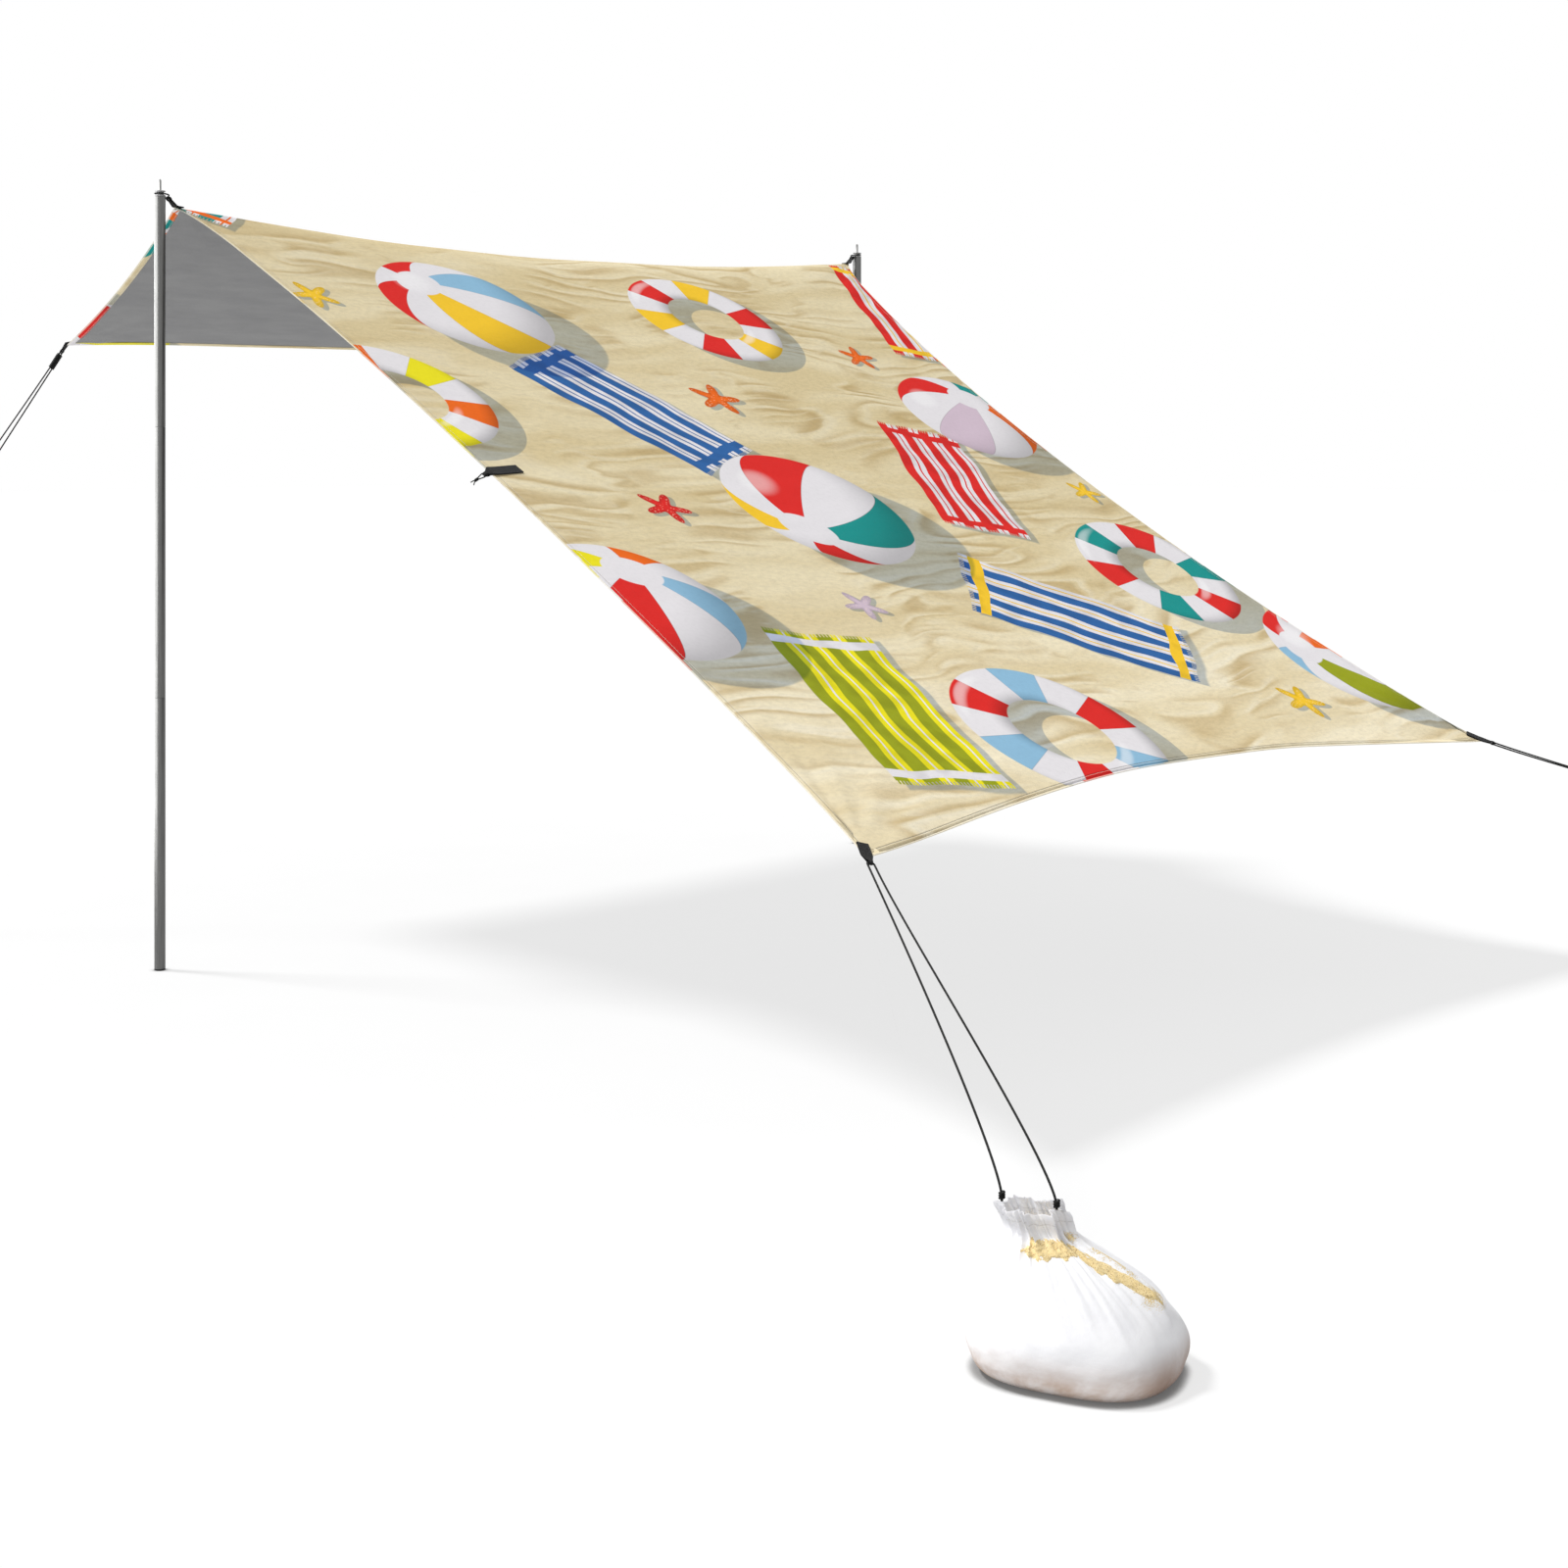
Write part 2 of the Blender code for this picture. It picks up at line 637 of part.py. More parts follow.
def make_corner(name, x, y, bag_x, bag_y, turn, root):
    """One corner of the canopy with its tab, its guy cord and its sandbag."""
    corner = cloth_point(x, y)
    inward = Vector((x - bag_x, y - bag_y, 0.0)).normalized()
    heading = math.atan2(inward.y, inward.x) + math.radians(turn)
    lean = Vector((math.cos(heading), math.sin(heading), 0.0))
    mouth = Vector((bag_x, bag_y, BAG_HEIGHT)) + lean * BAG_LEAN
    make_bag(name, Vector((bag_x, bag_y, 0.0)), heading, root)
    inset = TAB_WIDTH / 2
    sewn = Vector((math.copysign(abs(x) - inset, x), y - math.copysign(inset, y), 0.0))
    normal = cloth_normal(sewn.x, sewn.y)
    pull = (mouth - corner).normalized()
    eye, across = make_strap(
        f"{name}_corner_tab", corner, normal, pull, TAB_TAIL, TAB_REACH, TAB_WIDTH, SEW_GAP,
        GUY_DIAMETER + 2 * EYE_PLAY, root,
    )
    half_mouth = BAG_LENGTH / 2 * BAG_LEVEL_SHARES[-1][1] - BAG_WALL / 2
    rims = [mouth + lean * half_mouth * way + Vector((0.0, 0.0, FIT_GAP)) for way in (1, -1)]
    make_guy(f"{name}_guy_cord", rims, eye, across, root)


def make_side_tie(root):
    """The strap on the near side edge, half way down the front, with its short knotted loop."""
    y = -SIDE_TAB_DEPTH
    x = -half_width(y)
    edge = cloth_point(x, y)
    normal = cloth_normal(x + TAB_WIDTH, y)
    skew = math.radians(SIDE_TAB_SKEW)
    outward = Vector((-math.cos(skew), -math.sin(skew), 0.0))
    pull = (outward - normal * outward.dot(normal)).normalized()
    droop = math.radians(SIDE_LOOP_DROOP)
    away = (pull * math.cos(droop) - normal * math.sin(droop)).normalized()
    eye, across = make_strap(
        "near_side_tab", edge, normal, away, SIDE_TAB_TAIL, SIDE_TAB_REACH, SIDE_TAB_WIDTH,
        LONG_SEW_GAP, SIDE_CORD_DIAMETER + 2 * LOOSE_EYE_PLAY, root,
    )
    pivot = add_empty("near_side_loop_pivot", eye, root)
    half = SIDE_LOOP_WIDTH / 2
    points = eye_turn(Vector(), away, across, half)
    for share in (0.45, 0.7, 0.9):
        points.append(away * SIDE_LOOP_LENGTH * share + across * half * (1 - share**2))
    for share in (0.9, 0.7, 0.45):
        points.append(away * SIDE_LOOP_LENGTH * share - across * half * (1 - share**2))
    loop = as_mesh(cord("near_side_loop", points, SIDE_CORD_DIAMETER, pivot, "guy_cord", cyclic=True))
    ball = bmesh.new()
    bmesh.ops.create_uvsphere(ball, u_segments=10, v_segments=7, radius=SIDE_KNOT_DIAMETER / 2)
    bmesh.ops.translate(ball, verts=ball.verts, vec=away * SIDE_LOOP_LENGTH)
    knot = add_mesh("near_side_knot_form", ball, pivot, "guy_cord", sharp=50)
    tent.objects.unlink(knot)
    cutters.objects.link(knot)
    knot.hide_render = True
    knot.display_type = "WIRE"
    tie = loop.modifiers.new("knot", "BOOLEAN")
    tie.operation = "UNION"
    tie.object = knot


# Layout on the ground

NEAR, FAR = -1, 1
LAYOUT = (
    ("near_front", NEAR, -FRONT_DEPTH, FRONT_WIDTH, FRONT_BAG_OUT, -FRONT_BAG_DEPTH, FRONT_BAG_TURN),
    ("far_front", FAR, -FRONT_DEPTH, FRONT_WIDTH, FRONT_BAG_OUT, -FRONT_BAG_DEPTH, -FRONT_BAG_TURN),
    ("near_back", NEAR, BACK_DEPTH, BACK_WIDTH, NEAR_BACK_BAG_OUT, BACK_BAG_DEPTH, 0.0),
    ("far_back", FAR, BACK_DEPTH, BACK_WIDTH, FAR_BACK_BAG_OUT, BACK_BAG_DEPTH, 0.0),
)


def ground_middle():
    """Middle of the box round the four bags, which reach furthest out on the ground."""
    lows, highs = [], []
    for _, sign, y, width, out, bag_y, turn in LAYOUT:
        bag = Vector((sign * (POLE_SPACING / 2 + out), bag_y))
        inward = Vector((sign * width / 2, y)) - bag
        heading = math.atan2(inward.y, inward.x) + math.radians(turn)
        reach = Vector(
            (
                math.hypot(BAG_LENGTH / 2 * math.cos(heading), BAG_WIDTH / 2 * math.sin(heading)),
                math.hypot(BAG_LENGTH / 2 * math.sin(heading), BAG_WIDTH / 2 * math.cos(heading)),
            )
        )
        lows.append(bag - reach)
        highs.append(bag + reach)
    low = Vector((min(p.x for p in lows), min(p.y for p in lows)))
    high = Vector((max(p.x for p in highs), max(p.y for p in highs)))
    return (low + high) / 2


ground = ground_middle()
root = add_empty("tent_frame", (-ground.x, -ground.y, 0.0))
make_canopy(root)
for name, sign, y, width, out, bag_y, turn in LAYOUT:
    make_corner(name, sign * width / 2, y, sign * (POLE_SPACING / 2 + out), bag_y, turn, root)
make_ridge_end("near", NEAR, root)
make_ridge_end("far", FAR, root)
make_side_tie(root)
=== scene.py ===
"""The looks of the beach tent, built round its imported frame. Lengths are in metres."""

import json
import math
import random

import bmesh
import bpy
from mathutils import Matrix, Vector, noise

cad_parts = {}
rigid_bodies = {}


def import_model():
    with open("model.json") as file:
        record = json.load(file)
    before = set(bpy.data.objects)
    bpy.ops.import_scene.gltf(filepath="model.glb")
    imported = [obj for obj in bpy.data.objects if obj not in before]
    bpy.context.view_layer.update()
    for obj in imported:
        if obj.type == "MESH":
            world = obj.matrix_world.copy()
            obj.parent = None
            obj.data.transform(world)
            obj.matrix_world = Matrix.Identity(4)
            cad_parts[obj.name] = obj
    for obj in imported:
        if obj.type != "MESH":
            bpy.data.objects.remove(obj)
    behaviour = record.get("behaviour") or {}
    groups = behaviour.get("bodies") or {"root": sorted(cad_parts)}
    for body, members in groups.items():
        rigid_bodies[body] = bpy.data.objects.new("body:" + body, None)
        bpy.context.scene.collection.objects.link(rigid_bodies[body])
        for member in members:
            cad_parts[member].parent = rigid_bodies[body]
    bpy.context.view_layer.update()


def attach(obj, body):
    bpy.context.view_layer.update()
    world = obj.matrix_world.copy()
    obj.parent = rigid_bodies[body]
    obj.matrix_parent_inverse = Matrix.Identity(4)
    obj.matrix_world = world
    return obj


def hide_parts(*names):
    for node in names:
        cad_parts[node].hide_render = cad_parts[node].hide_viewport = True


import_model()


# Canopy
# One sheet of smooth stretch cloth, printed on its face and coated grey on its back. The poles and the
# guys pull it outwards at six points, which draws its edges hollow and leaves soft folds at each tie.

ridge_middle, upward = Vector((-0.29685, 0.99525, 0.0)), Vector((0.0, 0.0, 1.0))
cloth_thickness, thread_width = 0.0012, 0.0006
ridge_width, ridge_height, ridge_rounding = 2.57, 1.96, 0.122
front_width, front_depth, front_corner_height = 2.434, 2.343, 0.563
front_edge_hollow, front_side_hollow, front_billow = 0.11, 0.155, 0.045
back_width, back_depth, back_fall = 2.256, 0.84, 0.324
back_edge_hollow, back_side_hollow, back_billow = 0.06, 0.015, 0.012
front_slope = (ridge_height - front_corner_height) / front_depth
back_slope = back_fall / back_depth
side_tab_depth = 1.06
fold_start, slack_scale, slack_height = 0.09, 2.1, 0.006
columns, rows, ridge_row = 132, 190, 143


def mix(first, second, share):
    return first + (second - first) * share


def clamped(share):
    return min(max(share, 0.0), 1.0)


def half_width(y):
    """Half the width of the sheet at this distance behind the ridge."""
    if y < 0:
        down = clamped(-y / front_depth)
        start, end = 0.65, 0.9
        peak = start / (start + end)
        hollow = down**start * (1 - down) ** end / (peak**start * (1 - peak) ** end)
        return mix(ridge_width, front_width, down) / 2 - front_side_hollow * hollow
    down = clamped(y / back_depth)
    return mix(ridge_width, back_width, down) / 2 - back_side_hollow * 4 * down * (1 - down)


def cloth_height(x, y):
    """Height of the smooth sheet over a point, with the ridge's middle at x 0, y 0."""
    rounding = ridge_rounding * (1 - clamped(abs(x) / half_width(y)) ** 2)
    fall = (front_slope + back_slope) / 2 * math.hypot(y, rounding) - (front_slope - back_slope) / 2 * y
    depth, billow = (front_depth, front_billow) if y < 0 else (back_depth, back_billow)
    down = clamped(abs(y) / depth)
    return ridge_height - fall - billow * 4 * down * (1 - down)


def cloth_point(x, y):
    return Vector((x, y, cloth_height(x, y)))


def cloth_normal(x, y):
    step = 0.006
    along = cloth_point(x + step, y) - cloth_point(x - step, y)
    return along.cross(cloth_point(x, y + step) - cloth_point(x, y - step)).normalized()


# Each tie's place, how many folds it gathers in a turn, how far they reach and how high they stand
ties = (
    (-front_width / 2, -front_depth, 19, 0.34, 0.0042),
    (front_width / 2, -front_depth, 17, 0.38, 0.0042),
    (-back_width / 2, back_depth, 15, 0.24, 0.003),
    (back_width / 2, back_depth, 16, 0.24, 0.003),
    (-ridge_width / 2, 0.0, 13, 0.3, 0.003),
    (ridge_width / 2, 0.0, 14, 0.3, 0.003),
    (-half_width(-side_tab_depth), -side_tab_depth, 9, 0.2, 0.002),
)


def fold_height(x, y):
    """How far the folds at the ties lift the sheet off its smooth shape."""
    total = 0.0
    for tie_x, tie_y, count, reach, high in ties:
        far = math.hypot(x - tie_x, y - tie_y)
        if far < 2.5 * reach:
            turn = math.atan2(y - tie_y, x - tie_x)
            rise = (1 - math.exp(-((far / fold_start) ** 2))) * math.exp(-((far / reach) ** 1.5))
            waves = math.cos(count * turn + count) + 0.45 * math.cos(2.3 * count * turn + 1.7)
            total += high * rise * waves / 1.45
    slack = noise.noise(Vector((x * slack_scale, y * slack_scale, 3.0))) * slack_height
    return total + slack * (1 - clamped(abs(x) / half_width(y)) ** 4)


def cloth_spot(across, down):
    """A point of the finished sheet: across from -1 to 1, down from -1 at the front hem to 1 at the back."""
    if down < 0:
        hollow = front_edge_hollow * max(1 - across**2, 0.0) ** 1.35
        y = down * (front_depth + hollow * down)
    else:
        y = down * (back_depth - back_edge_hollow * (1 - across**2) * down)
    x = across * half_width(y)
    return cloth_point(x, y) + cloth_normal(x, y) * fold_height(x, y) + ridge_middle


def grid_share(column, row):
    """Where a grid point lies on the sheet. Columns crowd at the sides and rows at the ridge."""
    side = 2 * column / columns - 1
    across = side * (1.25 - 0.25 * side**2)
    if row < ridge_row:
        return across, -(((ridge_row - row) / ridge_row) ** 1.15)
    return across, ((row - ridge_row) / (rows - ridge_row)) ** 1.15


def shaped_grid(across, along, place, cut=None, guide=None, drop=None):
    """A grid put into shape by a function of its column and row, its meeting edges welded."""
    shape = bmesh.new()
    bmesh.ops.create_grid(shape, x_segments=across, y_segments=along, size=0.5)
    where = {}
    for vert in shape.verts:
        where[vert] = (round((vert.co.x + 0.5) * across), round((vert.co.y + 0.5) * along))
    for name, flat in (("Cut", cut), ("Guide", guide)):
        if flat is not None:
            layer = shape.loops.layers.uv.new(name)
            for face in shape.faces:
                for loop in face.loops:
                    loop[layer].uv = flat(*where[loop.vert])
    if drop:
        unused = [face for face in shape.faces if any(drop(*where[vert]) for vert in face.verts)]
        bmesh.ops.delete(shape, geom=unused, context="FACES")
    for vert in shape.verts:
        vert.co = place(*where[vert])
    bmesh.ops.remove_doubles(shape, verts=shape.verts, dist=0.00001)
    bmesh.ops.recalc_face_normals(shape, faces=shape.faces)
    return shape


def add_piece(name, shape, material, body, slot, *replaced, sharp=80):
    """Makes a piece of a shape that is already in place, and ties it to its body of the frame."""
    mesh = bpy.data.meshes.new(name)
    shape.to_mesh(mesh)
    shape.free()
    mesh.materials.append(material)
    mesh.shade_smooth()
    mesh.set_sharp_from_angle(angle=math.radians(sharp))
    piece = bpy.data.objects.new(name, mesh)
    bpy.context.scene.collection.objects.link(piece)
    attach(piece, body)
    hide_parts(*replaced)
    return piece


def thickened(piece, thickness, offset=0.0):
    """Gives a thin piece its wall, on both sides of its surface or on one."""
    wall = piece.modifiers.new("wall", "SOLIDIFY")
    wall.thickness, wall.offset = thickness, offset
    return wall


def colour(red, green, blue):
    """A screen colour in 8-bit steps, as the linear colour that a shader takes."""
    shares = [value / 255 for value in (red, green, blue)]
    linear = [s / 12.92 if s <= 0.04045 else ((s + 0.055) / 1.055) ** 2.4 for s in shares]
    return (*linear, 1.0)


class Value:
    """What a node gives. Each step of arithmetic with it adds the node that does the step."""

    def __init__(self, made, output=0):
        self.socket, self.tree = made.outputs[output], made.id_data

    def __add__(self, other):
        return calc("ADD", self, other)

    def __sub__(self, other):
        return calc("SUBTRACT", self, other)

    def __rsub__(self, other):
        return calc("SUBTRACT", other, self)

    def __mul__(self, other):
        return calc("MULTIPLY", self, other)

    def __truediv__(self, other):
        return calc("DIVIDE", self, other)

    def __rtruediv__(self, other):
        return calc("DIVIDE", other, self)

    def __abs__(self):
        return calc("ABSOLUTE", self)


def feed(socket, value):
    """Gives a socket a value, or joins another node's output to it."""
    if isinstance(value, Value):
        value.tree.links.new(value.socket, socket)
    else:
        socket.default_value = value


def tree_of(values):
    return next(value.tree for value in values if isinstance(value, Value))


def node(tree, kind, inputs=(), **settings):
    """A new shader node with its settings, and its inputs by name or number."""
    made = tree.nodes.new(f"ShaderNode{kind}")
    for name, value in settings.items():
        setattr(made, name, value)
    for name, value in dict(inputs).items():
        feed(made.inputs[name], value)
    return made


def calc(operation, *values):
    """One step of arithmetic, on vectors where a value is a vector."""
    vector = any(isinstance(value, Value) and value.socket.type == "VECTOR" for value in values)
    kind = "VectorMath" if vector else "Math"
    made = node(tree_of(values), kind, enumerate(values), operation=operation)
    return Value(made, "Value" if operation in ("LENGTH", "DOT_PRODUCT", "DISTANCE") else 0)


def parts(vector):
    split = node(vector.tree, "SeparateXYZ", {0: vector})
    return [Value(split, axis) for axis in "XYZ"]


def joined(x, y, z=0.0):
    return Value(node(x.tree, "CombineXYZ", {0: x, 1: y, 2: z}))


def fade(value, *limits):
    """A smooth step as the value goes from a start to an end: from 0 to 1, or from low to high if given."""
    return Value(node(value.tree, "MapRange", enumerate((value, *limits)), interpolation_type="SMOOTHSTEP"))


def blended(share, first, second, blend="MIX"):
    tree = tree_of((share, first, second))
    made = node(tree, "Mix", {0: share, 6: first, 7: second}, data_type="RGBA", blend_type=blend)
    return Value(made, 2)


def dimmed(shade, tone):
    """A colour darkened to a share of its brightness."""
    return blended(shade, (0.0, 0.0, 0.0, 1.0), tone)


def clouds(where, scale, detail=2.0, rough=0.5):
    inputs = {"Vector": where, "Scale": scale, "Detail": detail, "Roughness": rough}
    return Value(node(where.tree, "TexNoise", inputs), "Fac")


def cells(where, scale):
    return node(where.tree, "TexVoronoi", {"Vector": where, "Scale": scale})


def rotated(point, kind, title, turn):
    return Value(node(point.tree, "VectorRotate", {"Vector": point, title: turn}, rotation_type=kind))


def flat_place(tree, name):
    return Value(node(tree, "UVMap", uv_map=name))


def object_place(tree):
    return Value(node(tree, "TexCoord"), "Object")


def new_group(name, inputs, title="Colour", kind="Color"):
    """An empty node group: what its inputs give, and its one result."""
    tree = bpy.data.node_groups.new(name, "ShaderNodeTree")
    for label, sort in inputs.items():
        tree.interface.new_socket(label, in_out="INPUT", socket_type=f"NodeSocket{sort}")
    tree.interface.new_socket(title, in_out="OUTPUT", socket_type=f"NodeSocket{kind}")
    start = tree.nodes.new("NodeGroupInput")
    return {label: Value(start, label) for label in inputs}, tree.nodes.new("NodeGroupOutput").inputs[0]


def placed(group, *values):
    """The result of a node group in a material, its values in the order of its inputs."""
    return Value(node(tree_of(values), "Group", enumerate(values), node_tree=group))


def new_material(name, roughness, metallic=0.0, specular=0.5):
    material = bpy.data.materials.new(name)
    material.use_nodes = True
    inputs = material.node_tree.nodes["Principled BSDF"].inputs
    for title, value in (("Roughness", roughness), ("Metallic", metallic), ("Specular IOR Level", specular)):
        inputs[title].default_value = value
    return material, material.node_tree, inputs


def bumped(height, distance, under=None):
    """A normal from a height of 0 to 1 that stands for this distance."""
    inputs = {"Distance": distance, "Height": height}
    if under is not None:
        inputs["Normal"] = under
    return Value(node(height.tree, "Bump", inputs))


def woven_group():
    """Threads that cross at right angles: how high the surface stands at a point."""
    given, result = new_group("woven_threads", {"Point": "Vector", "Thread": "Float"}, "Height", "Float")
    x, y, _ = parts(given["Point"])
    turn = math.pi / given["Thread"]
    crossed = calc("SINE", x * turn) * calc("SINE", y * turn)
    feed(result, calc("MULTIPLY_ADD", crossed, 0.5, 0.5))
    return result.id_data


def sand_group():
    """Wind-rippled dry sand seen from above."""
    given, result = new_group("rippled_sand", {"Point": "Vector"})
    point = given["Point"]
    drift = clouds(point, 1.7) - 0.5
    sway = clouds(point + (7.0, 3.0, 0.0), 1.7) - 0.5
    bent = point + joined(drift * 0.6, sway * 0.24)
    long = bent * (0.8, 4.4, 1.0)
    tone = blended(fade(clouds(long, 1.5, 3.0), 0.36, 0.66), colour(230, 214, 175), colour(245, 234, 204))
    for scale, steps, start, amount in ((0.9, 11.0, 0.42, 0.72), (1.7, 8.0, 0.48, 0.5)):
        field = calc("FRACT", clouds(long, scale, 2.0, 0.36) * steps)
        seen = fade(clouds(bent, 2.6 * scale), start, start + 0.16)
        dark = fade(field, 0.4, 0.86) * fade(field, 1.0, 0.84) * seen * amount
        bright = fade(field, 0.3, 0.08) * fade(field, 0.0, 0.06) * seen * (amount * 0.7)
        tone = blended(bright, blended(dark, tone, colour(198, 173, 124)), colour(246, 238, 216))
    upper = fade(parts(point)[1], -2.45, -1.5)
    tone = blended(upper, tone, blended(1.0, tone, (0.88, 0.855, 0.78, 1.0), "MULTIPLY"))
    grain = fade(clouds(point, 620.0, 2.0, 0.7), 0.25, 0.75, 0.84, 1.08)
    patch = fade(clouds(point * (1.0, 2.0, 1.0), 44.0, 4.0, 0.7), 0.3, 0.7, 0.9, 1.04)
    feed(result, dimmed(grain * patch, tone))
    return result.id_data


def chosen(share, first, second):
    """The first value where the share is 0 and the second where it is 1: a number, a place or a colour."""
    size = len(second) if isinstance(second, tuple) else 1
    kind, low, output = {1: ("FLOAT", 2, 0), 3: ("VECTOR", 4, 1), 4: ("RGBA", 6, 2)}[size]
    return Value(node(share.tree, "Mix", {0: share, low: first, low + 1: second}, data_type=kind), output)


def nearest(point, motifs):
    """The values of the motif whose centre is nearest to the point."""
    values, far = motifs[0], calc("DISTANCE", point, motifs[0][0])
    for motif in motifs[1:]:
        gap = calc("DISTANCE", point, motif[0])
        closer = calc("LESS_THAN", gap, far)
        far = calc("MINIMUM", gap, far)
        values = [chosen(closer, before, now) for before, now in zip(values, motif)]
    return values


print_white, seam_grey = colour(226, 223, 226), colour(90, 80, 84)
sunlight = (-0.42, 0.5, 0.76)


def motif_group(name, kinds, colours):
    """A node group that prints one motif over the ground's colour."""
    inputs = {"Ground": "Color", "Point": "Vector", "Centre": "Vector"} | kinds
    inputs |= {title: "Color" for title in ("First", "Second", "Third", "Fourth")[:colours]}
    return new_group(name, inputs)


def local_print(given):
    """A motif's own coordinates: its centre at the origin and its edge at 1."""
    return (given["Point"] - given["Centre"]) / joined(given["Radius"], given["Radius"], 1.0)


def shadowed(given, share):
    """The ground under a motif, with the shadow that it casts."""
    cast_shadow = (0.56, 0.64, 0.80, 1.0)
    return blended(share, given["Ground"], blended(1.0, given["Ground"], cast_shadow, "MULTIPLY"))


def dome(share):
    """Height of a round form at a share of its radius."""
    return calc("SQRT", calc("MAXIMUM", 1.0 - calc("POWER", share, 2.0), 0.0))


def lit(panel, light, shade, glint):
    """A painted round form in the sun: its shade, and a glint where it faces the light."""
    return blended(fade(light, *glint), dimmed(fade(light, *shade), panel), colour(250, 250, 250))


def ball_group():
    """An inflated ball of coloured gores on the sand."""
    given, result = motif_group("printed_ball", {"Radius": "Float", "Turn": "Vector"}, 4)
    local = local_print(given)
    thrown = (local - (0.34, -0.5, 0.0)) * (0.93, 1.05, 1.0)
    ground = shadowed(given, fade(calc("LENGTH", thrown), 1.02, 0.98))
    far = calc("LENGTH", local)
    x, y, _ = parts(local)
    round_point = joined(x, y, dome(far))
    x, y, z = parts(rotated(round_point, "EULER_XYZ", "Rotation", given["Turn"]))
    around = calc("MULTIPLY_ADD", calc("ARCTAN2", y, x), 4 / math.pi, 4.0)
    gore = calc("FLOOR", around)
    panel = given["First"]
    for index, title in ((2.0, "Second"), (4.0, "Third"), (6.0, "Fourth")):
        panel = blended(calc("COMPARE", gore, index, 0.6), panel, given[title])
    panel = blended(calc("COMPARE", calc("MODULO", gore, 2.0), 1.0, 0.5), panel, print_white)
    seam = abs(calc("FRACT", around) - 0.5)
    panel = blended(fade(seam, 0.485, 0.5, 0.0, 0.35), panel, seam_grey)
    for end in (1, -1):
        panel = blended(fade(z, end * 0.949, end * 0.955), panel, print_white)
    light = calc("DOT_PRODUCT", round_point, sunlight)
    panel = lit(panel, light, (-0.35, 0.75, 0.6, 1.04), (0.95, 1.0, 0.0, 0.35))
    feed(result, blended(fade(far, 1.0, 0.985), ground, panel))
    return result.id_data


def ring_group():
    """An inflated swim ring on the sand, in bands of two colours and white."""
    given, result = motif_group("printed_swim_ring", {"Radius": "Float", "Turn": "Float"}, 2)
    local = local_print(given)

    def tube_side(point):
        return (calc("LENGTH", point) - 0.74) / 0.26

    thrown = abs(tube_side(local - (0.17, -0.25, 0.0)))
    ground = shadowed(given, fade(thrown, 1.04, 0.98))
    side = tube_side(local)
    x, y, _ = parts(local)
    turn = calc("MULTIPLY_ADD", calc("ARCTAN2", y, x), 6 / math.pi, given["Turn"])
    band = calc("FLOOR", turn)
    other = calc("COMPARE", calc("FLOORED_MODULO", band, 4.0), 2.0, 0.5)
    pale = calc("COMPARE", calc("FLOORED_MODULO", band, 2.0), 1.0, 0.5)
    panel = blended(pale, blended(other, given["First"], given["Second"]), print_white)
    rim = abs(calc("FRACT", turn) - 0.5)
    panel = blended(fade(rim, 0.485, 0.5, 0.0, 0.3), panel, seam_grey)
    outward = calc("DOT_PRODUCT", calc("NORMALIZE", local), (*sunlight[:2], 0.0))
    light = calc("MULTIPLY_ADD", dome(side), sunlight[2], outward * side)
    panel = lit(panel, light, (-0.4, 0.8, 0.56, 1.05), (0.93, 1.0, 0.0, 0.4))
    feed(result, blended(fade(abs(side), 1.0, 0.95), ground, panel))
    return result.id_data


def towel_group():
    """A striped beach towel laid on the sand, with a fringe at both ends."""
    given, result = motif_group("printed_towel", {"Size": "Vector", "Turn": "Float"}, 3)
    moved = given["Point"] - given["Centre"]

    def towel_place(point):
        wave = fade(clouds(point, 5.0, 1.0), 0.3, 0.7, -0.008, 0.008)
        return (rotated(point, "Z_AXIS", "Angle", given["Turn"]) + joined(wave, wave)) / given["Size"]

    x, y, _ = parts(abs(towel_place(moved - (0.014, -0.02, 0.0))))
    ground = shadowed(given, fade(calc("MAXIMUM", x, y), 1.02, 0.98))
    x, y, _ = parts(towel_place(moved))
    along = abs(y)
    stripe = calc("FRACT", x * 2.0)
    panel = blended(calc("GREATER_THAN", stripe, 0.5), given["First"], given["Second"])
    panel = blended(calc("COMPARE", stripe, 0.75, 0.035), panel, given["Third"])
    panel = blended(calc("COMPARE", along, 0.86, 0.05), panel, given["Third"])
    folds = clouds(moved * (1.0, 1.0, 0.0), 13.0, 1.0)
    panel = dimmed(fade(folds, 0.35, 0.65, 0.84, 1.05), panel)
    fringe = calc("GREATER_THAN", calc("FRACT", x * 17.0), 0.4)
    solid = calc("MAXIMUM", calc("LESS_THAN", along, 0.955), fringe)
    inside = fade(calc("MAXIMUM", abs(x), along), 1.0, 0.988)
    feed(result, blended(inside * solid, ground, panel))
    return result.id_data


def star_group():
    """A starfish lying on the sand."""
    given, result = motif_group("printed_starfish", {"Radius": "Float", "Turn": "Float"}, 1)
    local = local_print(given)

    def arm_share(point):
        x, y, _ = parts(point)
        turn = calc("MULTIPLY_ADD", calc("ARCTAN2", y, x), 5.0, given["Turn"])
        arm = calc("POWER", calc("MULTIPLY_ADD", calc("COSINE", turn), 0.5, 0.5), 1.4)
        return calc("LENGTH", point) / calc("MULTIPLY_ADD", arm, 0.62, 0.38), arm

    thrown = arm_share(local - (0.12, -0.17, 0.0))[0]
    ground = shadowed(given, fade(thrown, 1.03, 0.96))
    share, arm = arm_share(local)
    dots = fade(Value(cells(local, 11.0), "Distance"), 0.36, 0.2, 0.0, 0.5)
    body = dimmed(fade(share, 0.1, 1.0, 1.12, 0.72), given["First"])
    body = blended(dots * arm, body, colour(246, 226, 196))
    feed(result, blended(fade(share, 1.0, 0.93), ground, body))
    return result.id_data


